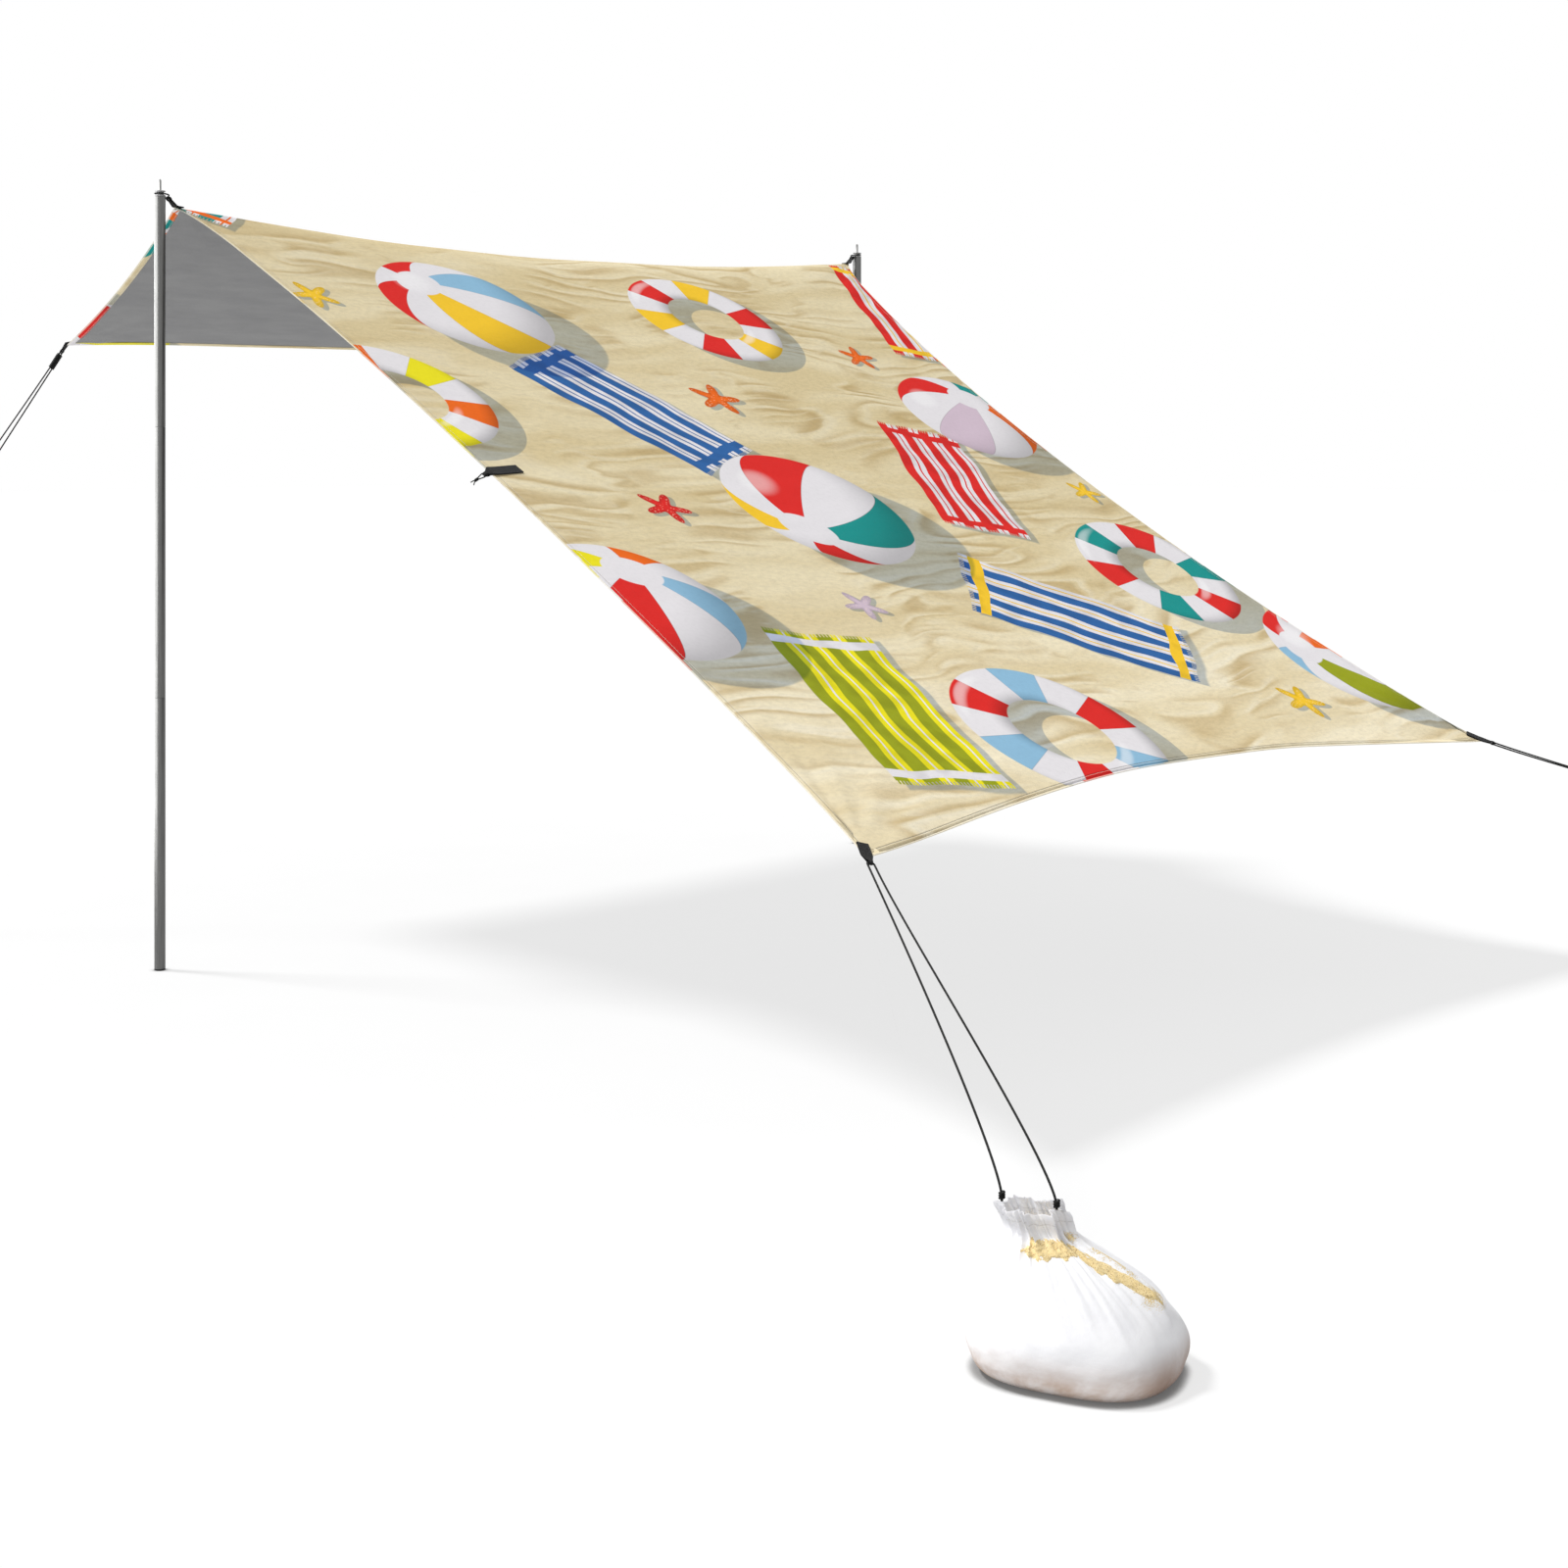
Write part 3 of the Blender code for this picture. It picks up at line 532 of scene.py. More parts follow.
# The print's colours, then each motif: its centre, its radius or half size, its turn and its colours
red, orange, lemon = colour(217, 40, 36), colour(232, 104, 26), colour(232, 221, 30)
sunny, teal, sky = colour(241, 196, 46), colour(22, 143, 138), colour(140, 184, 212)
blue, olive, lilac = colour(46, 98, 160), colour(150, 158, 28), colour(205, 186, 200)
balls = (
    ((-0.62, -0.42, 0.0), 0.25, (0.55, 0.35, 0.2), red, sunny, sky, red),
    ((0.93, -0.98, 0.0), 0.24, (0.5, -0.5, 1.1), red, lilac, orange, teal),
    ((-0.16, -1.42, 0.0), 0.27, (-0.45, 0.5, 0.5), sunny, red, teal, red),
    ((-1.06, -1.83, 0.0), 0.24, (0.6, -0.3, 0.9), lemon, red, sky, orange),
    ((1.17, -2.33, 0.0), 0.26, (0.4, 0.6, 2.0), red, sky, olive, orange),
    ((0.42, 0.44, 0.0), 0.24, (-0.5, 0.3, 0.1), orange, red, lemon, blue),
    ((-1.08, 0.83, 0.0), 0.27, (0.5, 0.5, 0.4), teal, red, lemon, orange),
)
rings = (
    ((0.28, -0.4, 0.0), 0.25, 0.4, red, sunny), ((-1.13, -0.93, 0.0), 0.24, 1.2, orange, lemon),
    ((0.87, -1.83, 0.0), 0.26, 0.7, teal, red), ((-0.28, -2.42, 0.0), 0.27, 0.1, red, sky),
    ((-0.33, 0.42, 0.0), 0.22, 0.9, blue, red), ((1.2, 0.3, 0.0), 0.24, 0.3, sunny, teal),
)
towels = (
    ((-0.42, -0.93, 0.0), (0.15, 0.3, 1.0), -0.5, blue, print_white, blue),
    ((1.22, -0.36, 0.0), (0.16, 0.32, 1.0), 0.35, red, print_white, sunny),
    ((0.5, -1.3, 0.0), (0.14, 0.29, 1.0), 0.42, red, print_white, red),
    ((0.29, -1.99, 0.0), (0.16, 0.32, 1.0), -0.85, blue, print_white, sunny),
    ((-0.72, -2.27, 0.0), (0.15, 0.31, 1.0), 0.2, olive, lemon, print_white),
    ((-1.1, 0.2, 0.0), (0.14, 0.28, 1.0), 0.75, teal, print_white, orange),
)
stars = (
    ((-0.06, -0.86, 0.0), 0.085, 0.4, orange), ((-0.68, -1.42, 0.0), 0.075, 1.4, red),
    ((0.72, -2.45, 0.0), 0.08, 2.1, sunny), ((0.05, 0.7, 0.0), 0.07, 0.9, red),
    ((-1.1, -0.44, 0.0), 0.07, 2.6, sunny), ((-0.4, -1.86, 0.0), 0.065, 3.0, lilac),
    ((0.76, -0.62, 0.0), 0.07, 0.2, orange), ((1.02, -1.42, 0.0), 0.065, 1.9, sunny),
)
hem_seam, hem_stitch = 0.0142, 0.0034
threads = woven_group()


def printed_cloth():
    """The face of the sheet: a loose generic beach pattern, hemmed with pale thread."""
    material, tree, inputs = new_material("printed_cloth", 0.82, specular=0.1)
    cut = flat_place(tree, "Cut")
    face = placed(sand_group(), cut)
    layers = ((star_group(), stars), (towel_group(), towels), (ring_group(), rings), (ball_group(), balls))
    for group, motifs in layers:
        face = placed(group, face, cut, *nearest(cut, motifs))
    side, end, _ = parts(flat_place(tree, "Guide"))
    across, down, _ = parts(cut)
    inward = calc("MINIMUM", side, end)
    by_side = calc("LESS_THAN", side, end)
    along = by_side * down + (1.0 - by_side) * across
    thread = calc("COMPARE", inward, hem_seam, 0.0005) * fade(calc("FRACT", along / hem_stitch), 0.68, 0.6)
    dip = fade(abs(inward - hem_seam), 0.003, 0.0)
    # The print is paler within a few millimetres of the fold.
    face = blended(fade(inward, 0.0032, 0.0012, 0.0, 0.6), face, colour(246, 240, 224))
    face = blended(thread, face, colour(240, 236, 222))
    feed(inputs["Base Color"], dimmed(fade(clouds(cut, 90.0), 0.3, 0.7, 0.97, 1.02), face))
    soft = bumped(clouds(cut, 9.0, 3.0) + dip * -0.4, 0.004)
    feed(inputs["Normal"], bumped(placed(threads, cut, thread_width) + thread, 0.00012, soft))
    return material


def coated_back():
    """The grey sun coating on the back of the sheet, faintly mottled."""
    material, tree, inputs = new_material("grey_sun_coating", 0.7)
    cut = flat_place(tree, "Cut")
    specks = clouds(cut, 260.0)
    tone = clouds(cut * (1.0, 3.0, 1.0), 5.0, 4.0, 0.6) * 0.6 + specks * 0.4
    feed(inputs["Base Color"], blended(fade(tone, 0.36, 0.64), colour(121, 121, 122), colour(132, 132, 132)))
    feed(inputs["Roughness"], fade(specks, 0.3, 0.7, 0.62, 0.8))
    soft = bumped(clouds(cut, 9.0, 3.0), 0.004)
    feed(inputs["Normal"], bumped(placed(threads, cut, thread_width), 0.0001, soft))
    return material


spots = {(c, r): cloth_spot(*grid_share(c, r)) for c in range(columns + 1) for r in range(rows + 1)}
runs = {(c, ridge_row): 0.0 for c in range(columns + 1)}
for c in range(columns + 1):
    for r in range(ridge_row - 1, -1, -1):
        runs[c, r] = runs[c, r + 1] - (spots[c, r] - spots[c, r + 1]).length
    for r in range(ridge_row + 1, rows + 1):
        runs[c, r] = runs[c, r - 1] + (spots[c, r] - spots[c, r - 1]).length


def canopy_cut(column, row):
    """A grid point's place on the sheet laid flat, its origin at the middle of the ridge."""
    return spots[column, row].x - ridge_middle.x, runs[column, row]


def canopy_guide(column, row):
    """A grid point's distance from the nearer side edge and from the nearer end."""
    spot = spots[column, row] - ridge_middle
    end = min(runs[column, row] - runs[column, 0], runs[column, rows] - runs[column, row])
    return half_width(spot.y) - abs(spot.x), end


cloth_face, cloth_back = printed_cloth(), coated_back()
sheet = shaped_grid(columns, rows, lambda c, r: spots[c, r], canopy_cut, canopy_guide)
if sum(face.normal.z for face in sheet.faces) < 0:
    bmesh.ops.reverse_faces(sheet, faces=sheet.faces)
canopy = add_piece("canopy_cloth", sheet, cloth_face, "root", "canopy_cloth", "canopy", sharp=50)
canopy.data.materials.append(cloth_back)
two_faces = thickened(canopy, cloth_thickness)
two_faces.material_offset = 1
two_faces.material_offset_rim = 0


# Hem
# The sheet's edge is folded under once and sewn down, so a narrow strip of the print shows all round
# its grey back. The fold itself is a soft round edge, and the print is paler close to it.

hem_outline = (
    (0.0016, 0.0008), (0.0004, 0.0012), (-0.0008, 0.0006), (-0.0011, -0.0007), (0.0, -0.0017),
    (0.0018, -0.0021), (0.0165, -0.0019), (0.0178, -0.0014), (0.0176, -0.0004),
)
hem_cut = (-0.0030, -0.0016, 0.0, 0.0014, 0.0030, 0.0048, 0.0195, 0.0212, 0.0222)
front_steps, side_steps, back_steps = 200, 270, 180
probe_across, probe_down = 0.006, 0.004

# Stations round the sheet's edge: across, down and which way is outwards
stations = [(-1 + 2 * i / front_steps, -1.0, 0, -1) for i in range(front_steps)]
stations += [(1.0, -1 + 2 * i / side_steps, 1, 0) for i in range(side_steps)]
stations += [(1 - 2 * i / back_steps, 1.0, 0, 1) for i in range(back_steps)]
stations += [(-1.0, 1 - 2 * i / side_steps, -1, 0) for i in range(side_steps)]
hem_frames = []
for i, (across, down, out_x, out_y) in enumerate(stations):
    before, after = stations[i - 1], stations[(i + 1) % len(stations)]
    edge = cloth_spot(across, down)
    run = (cloth_spot(*after[:2]) - cloth_spot(*before[:2])).normalized()
    if before[2:] != (out_x, out_y):
        out_x, out_y = out_x + before[2], out_y + before[3]
    inward = cloth_spot(across - out_x * probe_across, down - out_y * probe_down) - edge
    inward = (inward - run * inward.dot(run)).normalized() * math.hypot(out_x, out_y)
    up = run.cross(inward).normalized()
    up = up if up.z > 0 else -up
    spot = edge - ridge_middle
    depth = spot.y * math.sqrt(1 + (front_slope if spot.y < 0 else back_slope) ** 2)
    hem_frames.append((edge, inward, up, Vector((out_x, out_y)), Vector((spot.x, depth))))


def hem_place(station, step):
    edge, inward, up, _, _ = hem_frames[station % len(hem_frames)]
    run, high = hem_outline[step % len(hem_outline)]
    return edge + inward * run + up * high


def hem_print(station, step):
    _, _, _, out, flat = hem_frames[station % len(hem_frames)]
    return flat + out * hem_cut[step % len(hem_cut)]


def hem_guide(station, step):
    inward = abs(hem_outline[step % len(hem_outline)][0])
    return (inward, 1.0) if hem_frames[station % len(hem_frames)][3].x else (1.0, inward)


fold = shaped_grid(len(stations), len(hem_outline), hem_place, hem_print, hem_guide)
hem = add_piece("canopy_hem", fold, cloth_face, "root", "canopy_cloth")


# Tape tabs
# Straps of black polyester tape, sewn on the face of the sheet with a box of stitches and folded back
# on themselves into an eye. The cord that pulls on the eye bunches the tape together.

tape_thickness, tape_pair, sheet_half = 0.0014, 0.0032, 0.001
tab_width, tab_tail, tab_reach, tab_eye_width = 0.025, 0.045, 0.026, 0.009
sew_gap, long_sew_gap = 0.0006, 0.0013
guy_diameter, side_cord_diameter = 0.004, 0.003
eye_half_length, eye_play, loose_eye_play = 0.0055, 0.0008, 0.002
stitch_pitch, stitch_inset, stitch_width, stitch_height = 0.0036, 0.003, 0.00032, 0.00028
side_tab_tail, side_tab_reach, side_tab_width, ridge_tab_tail = 0.095, 0.014, 0.032, 0.02


def black_tape():
    """Ribbed polyester tape: fine ribs across it and faint threads along it."""
    material, tree, inputs = new_material("black_tape", 0.62, specular=0.22)
    x, y, _ = parts(flat_place(tree, "Cut"))
    ribs = calc("SINE", y * (2 * math.pi / 0.0011))
    warp = calc("SINE", x * (2 * math.pi / 0.0016))
    height = calc("MULTIPLY_ADD", ribs * warp, 0.3, ribs * 0.5)
    fuzz = clouds(joined(x, y), 800.0)
    # The tape is darker in the hollows between its ribs, a painted shade, and its tone also varies at random
    # with the fuzz.
    tone = fade(calc("MULTIPLY_ADD", height, 0.25, fuzz), 0.2, 0.9)
    feed(inputs["Base Color"], blended(tone, colour(6, 6, 7), colour(25, 25, 26)))
    feed(inputs["Roughness"], fade(fuzz, 0.3, 0.7, 0.6, 0.8))
    feed(inputs["Normal"], bumped(height + fuzz, 0.00016))
    return material


def black_thread():
    material, tree, inputs = new_material("black_thread", 0.4)
    twist = clouds(object_place(tree), 2600.0, 1.0)
    feed(inputs["Base Color"], blended(twist, colour(30, 30, 32), colour(66, 66, 70)))
    feed(inputs["Normal"], bumped(twist, 0.00008))
    return material


def tape_strap(name, anchor, normal, pull, sizes, eye_height, gap, replaced):
    """One folded strap. Returns the middle of its eye and the direction across it."""
    tail, reach, width = sizes
    along = (pull - normal * pull.dot(normal)).normalized()
    across = along.cross(normal).normalized()
    rise = math.atan2(pull.dot(normal), pull.dot(along))
    seat = sheet_half + gap + tape_pair / 2
    eye = Vector((math.cos(rise), math.sin(rise))) * reach + Vector((0.0, seat))
    turn = Matrix.Rotation(rise, 2)
    low, high = seat - tape_pair / 2 + tape_thickness / 2, seat + tape_pair / 2 - tape_thickness / 2

    def cloth_clearance(run):
        under = anchor + along * run
        return (cloth_height(under.x, under.y) - under.z) * normal.z

    sewn = []
    for step in range(9):
        run = -tail * (1 - step / 8)
        sink = -gap if step < 7 else -gap * (8 - step) / 2
        sewn.append(Vector((run, cloth_clearance(run) + sink)))
    bend = []
    for step in range(25):
        angle = math.radians(-150 + 12.5 * step)
        long, tall = eye_half_length + tape_thickness / 2, eye_height / 2 + tape_thickness / 2
        bend.append(eye + turn @ Vector((long * math.cos(angle), tall * math.sin(angle))))
    line = [spot + Vector((0.0, low)) for spot in sewn]
    line += bend + [spot + Vector((0.0, high)) for spot in reversed(sewn)]
    lengths = [0.0]
    for first, second in zip(line, line[1:]):
        lengths.append(lengths[-1] + (second - first).length)
    strips = 12
    pleat_height = 0.0006 if gap == sew_gap else 0.0

    def strap_place(strip, station):
        spot = line[station]
        gathered = clamped(spot.x / (reach * math.cos(rise)))
        side = 2 * strip / strips - 1
        lift = spot.y + gathered * pleat_height * math.cos(side * 7.5)
        aside = side * mix(width, tab_eye_width, gathered) / 2
        return anchor + along * spot.x + normal * lift + across * aside + ridge_middle

    def strap_cut(strip, station):
        return (2 * strip / strips - 1) * width / 2, lengths[station]

    shape = shaped_grid(strips, len(line) - 1, strap_place, strap_cut)
    strap = add_piece(name, shape, tape, "root", "webbing", replaced, sharp=50)
    thickened(strap, tape_thickness)
    edge = strap.modifiers.new("soft_edge", "BEVEL")
    edge.width, edge.segments = 0.0004, 2
    edge.limit_method, edge.angle_limit = "ANGLE", math.radians(60)

    start, end, side = stitch_inset - tail, -stitch_inset, width / 2 - stitch_inset
    box = [Vector(corner) for corner in ((start, -side), (start, side), (end, side), (end, -side))]
    stitches = bmesh.new()
    for first, second in (*zip(box, box[1:] + box[:1]), (box[0], box[2]), (box[1], box[3])):
        length = (second - first).length
        count = max(int(length / stitch_pitch), 1)
        heading = (second - first).normalized()
        main = (along * heading.x + across * heading.y).normalized()
        axes = Matrix((main, normal.cross(main), normal)).transposed().to_4x4()
        size = Matrix.Diagonal((length / count * 0.37, stitch_width, stitch_height, 1.0))
        for i in range(count):
            spot = first.lerp(second, (i + 0.5) / count)
            lift = cloth_clearance(spot.x) - gap + high + tape_thickness / 2
            centre = anchor + along * spot.x + normal * lift + across * spot.y + ridge_middle
            matrix = Matrix.Translation(centre) @ axes @ size
            bmesh.ops.create_icosphere(stitches, subdivisions=1, radius=1.0, matrix=matrix)
    add_piece(name.replace("tape", "stitches"), stitches, thread, "root", "webbing")
    return anchor + along * eye.x + normal * eye.y, across


tape, thread = black_tape(), black_thread()
pole_spacing, pole_height, cap_head, cap_groove = 2.656, 2.0, 0.003, 0.0085
groove_height = pole_height - cap_head - cap_groove / 2
tie_reach, tie_drop = 0.025, 0.012
bag_length, bag_width, bag_height, bag_lean = 0.33, 0.27, 0.225, 0.076
# Each corner: its side of the tent, its depth and the sheet's width there, its bag's place, the bag's turn
corners = {
    "near_front": (-1, -front_depth, front_width, 0.435, -3.252, 48.0),
    "far_front": (1, -front_depth, front_width, 0.435, -3.252, -48.0),
    "near_back": (-1, back_depth, back_width, 0.632, 1.282, 0.0),
    "far_back": (1, back_depth, back_width, 1.222, 1.282, 0.0),
}
bags, corner_eyes = {}, {}
for end, (side, y, width, out, bag_y, turn) in corners.items():
    bag = Vector((side * (pole_spacing / 2 + out), bag_y, 0.0))
    corner = cloth_point(side * width / 2, y)
    heading = math.atan2(y - bag.y, side * width / 2 - bag.x) + math.radians(turn)
    lean = Vector((math.cos(heading), math.sin(heading), 0.0))
    bags[end] = (bag, heading, lean)
    mouth = bag + upward * bag_height + lean * bag_lean
    inset = tab_width / 2
    normal = cloth_normal(side * (width / 2 - inset), y - math.copysign(inset, y))
    corner_eyes[end] = tape_strap(
        f"{end}_tape", corner, normal, (mouth - corner).normalized(), (tab_tail, tab_reach, tab_width),
        guy_diameter + 2 * eye_play, sew_gap, f"{end}_corner_tab",
    )

sides = (("near", -1), ("far", 1))
ridge_eyes = {}
for side, sign in sides:
    apex = cloth_point(sign * ridge_width / 2, 0.0)
    inboard = cloth_point(sign * (ridge_width / 2 - ridge_tab_tail), 0.0)
    normal = (apex - inboard).normalized().cross(Vector((0.0, 1.0, 0.0)))
    normal = normal if normal.z > 0 else -normal
    neck = Vector((sign * pole_spacing / 2, 0.0, groove_height))
    seat = sheet_half + sew_gap + tape_pair / 2
    pull = neck - Vector((sign * tie_reach, 0.0, tie_drop)) - apex - normal * seat
    ridge_eyes[side] = tape_strap(
        f"{side}_ridge_tape", apex, normal, pull.normalized(), (ridge_tab_tail, pull.length, tab_width),
        guy_diameter + 2 * loose_eye_play, sew_gap, f"{side}_ridge_tab",
    )

side_edge = cloth_point(-half_width(-side_tab_depth), -side_tab_depth)
side_normal = cloth_normal(side_edge.x + tab_width, side_edge.y)
skew, droop = math.radians(7.0), math.radians(32.0)
side_pull = Vector((-math.cos(skew), -math.sin(skew), 0.0))
side_pull = (side_pull - side_normal * side_pull.dot(side_normal)).normalized()
side_away = (side_pull * math.cos(droop) - side_normal * math.sin(droop)).normalized()
side_eye, side_across = tape_strap(
    "near_side_tape", side_edge, side_normal, side_away, (side_tab_tail, side_tab_reach, side_tab_width),
    side_cord_diameter + 2 * loose_eye_play, long_sew_gap, "near_side_tab",
)


# Cords
# Dark braided cord. A guy is one length that runs from one corner of its bag's mouth, through the
# tab's eye and back to the other corner. Short endless loops tie the ridge to the poles' necks.

guy_spread, guy_rise, guy_draw = 0.0075, 0.06, 0.25
# Each wrapping: its radius, its cord's radius, its turns and how quickly its ends thin
stopper, whipping = (0.0036, 0.0018, 3, 12), (0.0066, 0.0026, 9, 20)
stopper_height, whipping_reach, mouth_share, channel_inset = 0.009, 0.026, 0.27, 0.0015


def braided_cord():
    """Eight strands braided round a core, charcoal with a few paler flecks."""
    material, tree, inputs = new_material("braided_cord", 0.66, specular=0.15)
    x, y, _ = parts(flat_place(tree, "Cut"))
    waves = []
    for way in (1.0, -1.0):
        turned = calc("MULTIPLY_ADD", x, way * 8 * math.pi, y * (2 * math.pi / 0.0075))
        waves.append(calc("SINE", turned))
    height = calc("MAXIMUM", *waves)
    fleck = fade(clouds(joined(x * 0.02, y), 260.0, 1.0), 0.62, 0.72, 0.0, 0.4)
    # Each strand is painted darker where it dips between the others, a painted shade in the grooves of the
    # braid; the paler flecks are the cord's own.
    tone = blended(fade(height, -0.6, 1.0), colour(8, 9, 10), colour(30, 31, 30))
    feed(inputs["Base Color"], blended(fleck, tone, colour(96, 94, 88)))
    feed(inputs["Normal"], bumped(height, 0.00035))
    return material


def through(points, step, closed=False):
    """A smooth line through the points, its own points about a step apart."""
    line = []
    count = len(points)
    for i in range(count if closed else count - 1):
        near_by = [(i + k) % count if closed else min(max(i + k, 0), count - 1) for k in (-1, 0, 1, 2)]
        a, b, c, d = (points[k] for k in near_by)
        pieces = max(int((c - b).length / step), 1)
        for k in range(pieces):
            t = k / pieces
            bend = (c - a) * t + (2 * a - 5 * b + 4 * c - d) * t**2 + (3 * b - a - 3 * c + d) * t**3
            line.append(0.5 * (2 * b + bend))
    return line if closed else line + [points[-1]]


def cord_shape(line, radius, closed=False, taper=None):
    """A round cord along a line, its flat cut in turns and metres, its ends closed."""
    count, sides = len(line), 10
    runs_along = [0.0]
    for first, second in zip(line, line[1:] + line[:1]):
        runs_along.append(runs_along[-1] + (second - first).length)
    frames = []
    up = Vector((0.31, 0.52, 0.79))
    for i in range(count):
        before = line[i - 1] if closed or i else line[0]
        after = line[(i + 1) % count] if closed or i < count - 1 else line[-1]
        ahead = (after - before).normalized()
        up = (up - ahead * up.dot(ahead)).normalized()
        frames.append((up, ahead.cross(up)))

    def place(column, row):
        first, second = frames[row % count]
        turn = 2 * math.pi * column / sides
        size = radius * (taper(row / (count - 1)) if taper else 1.0)
        return line[row % count] + (first * math.cos(turn) + second * math.sin(turn)) * size

    steps = count if closed else count - 1
    cord = shaped_grid(sides, steps, place, lambda c, r: (c / sides, runs_along[r]))
    bmesh.ops.holes_fill(cord, edges=[edge for edge in cord.edges if edge.is_boundary], sides=sides)
    bmesh.ops.recalc_face_normals(cord, faces=cord.faces)
    return cord


def wrapped_knot(centre, along, radius, cord_radius, turns):
    """The line of a cord wound round another one, as in a stopper knot."""
    along = along.normalized()
    first = along.orthogonal().normalized()
    second = along.cross(first)
    steps = int(turns * 14)
    line = []
    for i in range(steps + 1):
        turn = 2 * math.pi * turns * i / steps
        rise = (i / steps - 0.5) * turns * cord_radius * 2.05
        line.append(centre + along * rise + (first * math.cos(turn) + second * math.sin(turn)) * radius)
    return line


def wrapping(centre, along, radius, cord_radius, turns, ends):
    """A wrapped knot whose cord thins quickly at both ends, where it is tucked in."""
    line = wrapped_knot(centre, along, radius, cord_radius, turns)
    return cord_shape(line, cord_radius, taper=lambda share: min(1.0, ends * min(share, 1 - share) + 0.25))


def merge(shape, others):
    """Adds other shapes to one, and frees them."""
    for other in others:
        mesh = bpy.data.meshes.new("part")
        other.to_mesh(mesh)
        other.free()
        shape.from_mesh(mesh)
        bpy.data.meshes.remove(mesh)


def eye_turn(eye, pull, across, spread, steps=16):
    """The cord's half turn through an eye."""
    points = []
    for step in range(steps + 1):
        angle = math.pi * (step / steps - 0.5)
        points.append(eye + across * spread * math.sin(angle) + pull * spread * (1 - math.cos(angle)))
    return points


def guy_side(rim, top, draw):
    """One strand of a guy, up from the bag's rim and into the line of its pull."""
    start = rim + upward * guy_diameter
    lift, ease = start + upward * guy_rise, top + draw
    points = [rim]
    for step in range(40):
        share = (step / 40) ** 1.6
        rest = 1 - share
        low = start * rest**3 + lift * 3 * rest**2 * share
        points.append(low + ease * 3 * rest * share**2 + top * share**3)
    return points


braid = braided_cord()
half_mouth = bag_length / 2 * mouth_share - channel_inset
mouth_play = upward * 0.0003
for end, (bag, heading, lean) in bags.items():
    eye, across = corner_eyes[end]
    mouth = bag + upward * bag_height + mouth_play + lean * bag_lean
    rims = [mouth + lean * half_mouth, mouth - lean * half_mouth]
    if (rims[1] - rims[0]).dot(across) < 0:
        rims.reverse()
    pull = ((rims[0] + rims[1]) / 2 - eye - mouth_play).normalized()
    turn = eye_turn(eye, pull, across, guy_spread)
    first = guy_side(rims[0], turn[0], pull * guy_draw)
    second = guy_side(rims[1], turn[-1], pull * guy_draw)
    line = [point + ridge_middle for point in first + turn + second[::-1]]
    shape = cord_shape(through(line, 0.012), guy_diameter / 2)
    knots = [wrapping(rim + ridge_middle + upward * stopper_height, upward, *stopper) for rim in rims]
    if end.endswith("back"):
        middle = eye + pull * (guy_spread + whipping_reach) + ridge_middle
        knots.append(wrapping(middle, pull, *whipping))
    merge(shape, knots)
    add_piece(f"{end}_guy", shape, braid, "root", "guy_cord", f"{end}_guy_cord")

tie_level_run, tube_radius, neck_radius, fit_gap = 0.006, 0.014, 0.01, 0.0003
for side, sign in sides:
    eye, across = ridge_eyes[side]
    neck = Vector((sign * pole_spacing / 2, 0.0, groove_height))
    ring = neck_radius + fit_gap + guy_diameter / 2
    points = eye_turn(eye, (neck - eye).normalized(), across, guy_spread, 8)
    way = 1.0 if points[-1].y > 0 else -1.0
    leave = neck - Vector((sign * (tube_radius + tie_level_run), 0.0, tie_drop / 4))
    aside = Vector((0.0, way * mix(guy_spread, ring, 0.5), 0.0))
    points.append(leave + aside)
    for step in range(13):
        angle = math.radians(75 + 17.5 * step)
        points.append(neck + Vector((-sign * ring * math.cos(angle), way * ring * math.sin(angle), 0.0)))
    points.append(leave - aside)
    line = [point + ridge_middle for point in points]
    shape = cord_shape(through(line, 0.003, closed=True), guy_diameter / 2, closed=True)
    add_piece(f"{side}_pole_tie", shape, braid, f"{side}_tie", "guy_cord", f"{side}_spike_loop")

loop_length, loop_width, loop_knot = 0.026, 0.013, (0.0026, 0.0014, 3)
# The knot's two tails: how far out, aside and down each of their points lies
tail_points, tail_radius = ((0.002, 0.0, 0.0), (0.007, 0.002, 0.0), (0.013, 0.006, 0.003)), 0.0013
points = eye_turn(side_eye, side_away, side_across, loop_width / 2, 8)
for way in (1, -1):
    for share in (0.45, 0.7, 0.9)[::way]:
        swing = side_across * loop_width / 2 * (1 - share**2) * way
        points.append(side_eye + side_away * loop_length * share + swing)
line = [point + ridge_middle for point in points]
side_loop = cord_shape(through(line, 0.0015, closed=True), side_cord_diameter / 2, closed=True)
tip = side_eye + side_away * loop_length + ridge_middle
tied = [cord_shape(through(wrapped_knot(tip, side_away, *loop_knot), 0.001), loop_knot[1])]
for way in (1, -1):
    tail = []
    for out, aside, down in tail_points:
        tail.append(tip + side_away * out + side_across * aside * way - upward * down)
    tied.append(cord_shape(through(tail, 0.0015), tail_radius))
merge(side_loop, tied)
add_piece("near_side_loop_cord", side_loop, braid, "near_side_cord", "guy_cord", "near_side_loop")


# Poles
# Drawn aluminium tube in three sections over an inner shock cord. A ferrule in each upper section
# plugs into the one below. A plastic cap with a groove and a steel spike ends the top, a plug the foot.

lower_section, middle_section, tube_wall, foot_thickness, plug_length = 0.695, 0.695, 0.0012, 0.004, 0.03
lower_joint = foot_thickness + lower_section
upper_joint = lower_joint + middle_section
plug_radius = tube_radius - tube_wall - fit_gap


